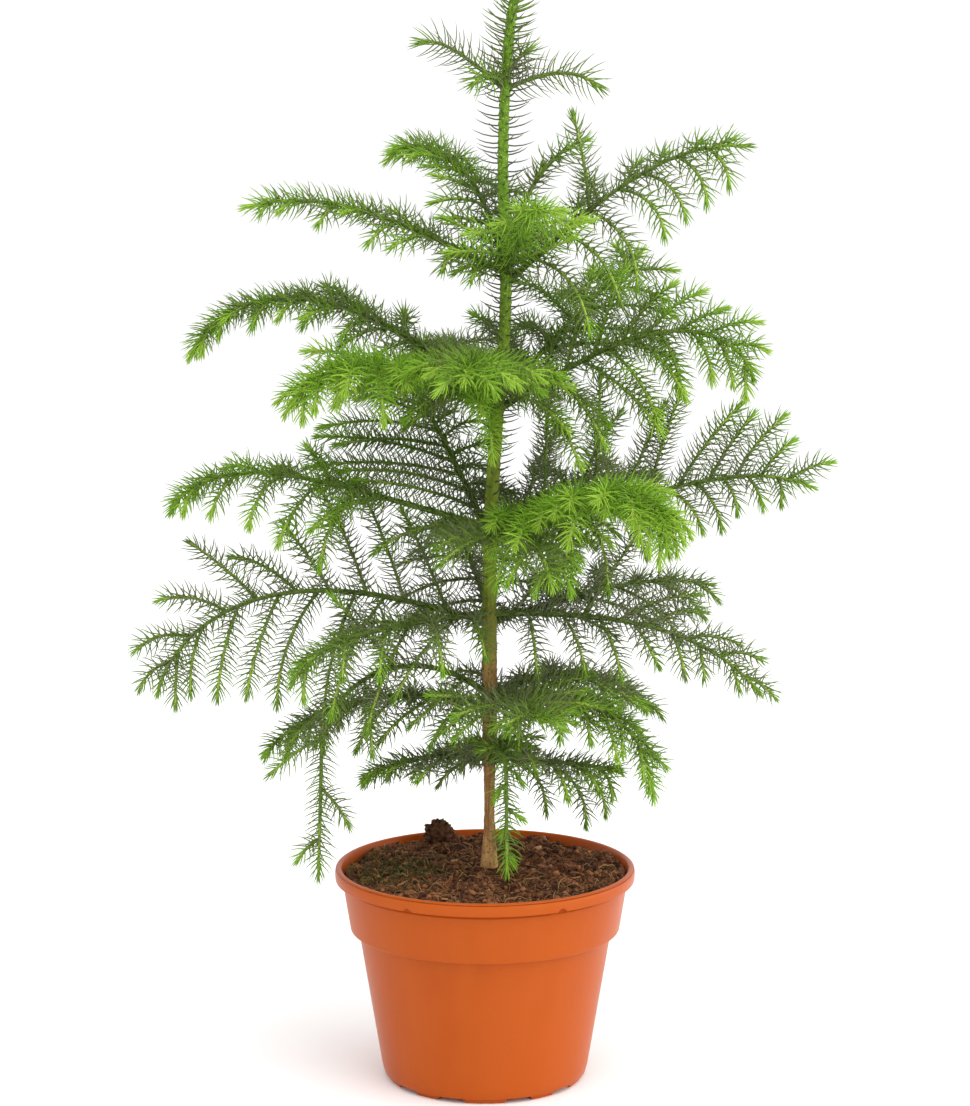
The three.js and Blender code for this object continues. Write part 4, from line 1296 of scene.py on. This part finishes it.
needle_finishes = plain_finishes("needle_green_and_shade", NEEDLE_GREENS_AND_SHADES, roughness=0.55, specular=0.2)
faces_front = np.sin(np.radians(azimuth)) < 0
for tier in TIERS:
    for half, in_half in (("front", faces_front), ("back", ~faces_front)):
        mine = ((bough_tier == tier) & in_half)[owner[bearer]]
        needle_foot = shoots.at(bearer[mine], needle_share[mine])
        needle_shape = needle_skins(
            needle_foot, needle_axis[mine], needle_out[mine], needle_length[mine],
            NEEDLE_RADIUS, needle_open[mine], CURL * needle_open[mine])
        needle_tints = dealt(tint[mine], needle_shape)
        stood_for = tier_nodes("foliage", tier)
        name = f"needles_tier{tier}_{half}"
        piece(name, needle_shape, needle_finishes, stood_for, needle_tints)

# %% [markdown]
# ### Needles on the stem
# The green part of the stem still has its own needles. They are longer than the others, stand out level
# and curve upwards, thin out downwards, and close round the leader at the top. Against the light they
# look darker than those of the boughs, so they have greens of their own.

# %% Stem needle places
# Height, needles per metre, needle length and opening angle along the stem
STEM_NEEDLES = np.array([
    (0.262, 500.0, 0.0130, 92.0),
    (0.340, 1150.0, 0.0155, 95.0),
    (0.450, 1000.0, 0.0170, 96.0),
    (0.550, 850.0, 0.0185, 98.0),
    (0.566, 1700.0, 0.0185, 94.0),
    (0.594, 2200.0, 0.0180, 86.0),
    (0.605, 3200.0, 0.0140, 60.0),
    (0.612, 4200.0, 0.0085, 25.0),
])
FINE_STEPS = 2000
STEM_TURN_JITTER = 0.25
STEM_OPEN_JITTER = 7.0

stem_knots, stem_crowd, stem_reach, stem_opening = STEM_NEEDLES.T
fine_height = np.linspace(stem_knots[0], stem_knots[-1], FINE_STEPS)
# Needles counted from the lowest up: the running sum of needles per metre times the step
counted = np.cumsum(np.interp(fine_height, stem_knots, stem_crowd)) * (fine_height[1] - fine_height[0])
stem_count = int(counted[-1])
stem_place = np.interp(np.arange(stem_count) + 0.5, counted, fine_height)
needle_way = np.radians(GOLDEN_ANGLE) * np.arange(stem_count) + either_way(STEM_TURN_JITTER, stem_count)
stem_axis = unit(np.gradient(trunk_centre(stem_place), stem_place, axis=0))
stem_out = square_to(stem_axis, turned(1.0, 0.0, needle_way))
stem_long = np.interp(stem_place, stem_knots, stem_reach) * (1 + either_way(NEEDLE_JITTER, stem_count))
stem_open = np.interp(stem_place, stem_knots, stem_opening) + either_way(STEM_OPEN_JITTER, stem_count)
print("needles on the stem:", stem_count)

# %% Stem needles
STEM_CURL = 0.58
STEM_NEEDLE_RADIUS = 0.00052
STEM_GREENS = ["50563f", "586239", "647b30", "6b8f27", "79a52a"]
STEM_FRESH = 0.10
STEM_LUCK = 0.07
# How much fresher the leader gets, and the heights between which it does
LEADER_GREEN = [(0.30, 0.556, 0.575), (0.45, 0.592, 0.612)]

stem_shape = needle_skins(
    trunk_centre(stem_place), stem_axis, stem_out, stem_long,
    STEM_NEEDLE_RADIUS, stem_open, STEM_CURL * stem_open)
leader_green = sum(gain * ramp(stem_place, low, high) for gain, low, high in LEADER_GREEN)
stem_fresh = STEM_FRESH + leader_green + growth.normal(0, STEM_LUCK, stem_count)
stem_tints = dealt(green_number(stem_fresh, STEM_GREENS), stem_shape)
stem_finishes = plain_finishes("stem_needle", STEM_GREENS, roughness=0.55, specular=0.2)
piece("needles_stem", stem_shape, stem_finishes, ["trunk"], stem_tints)
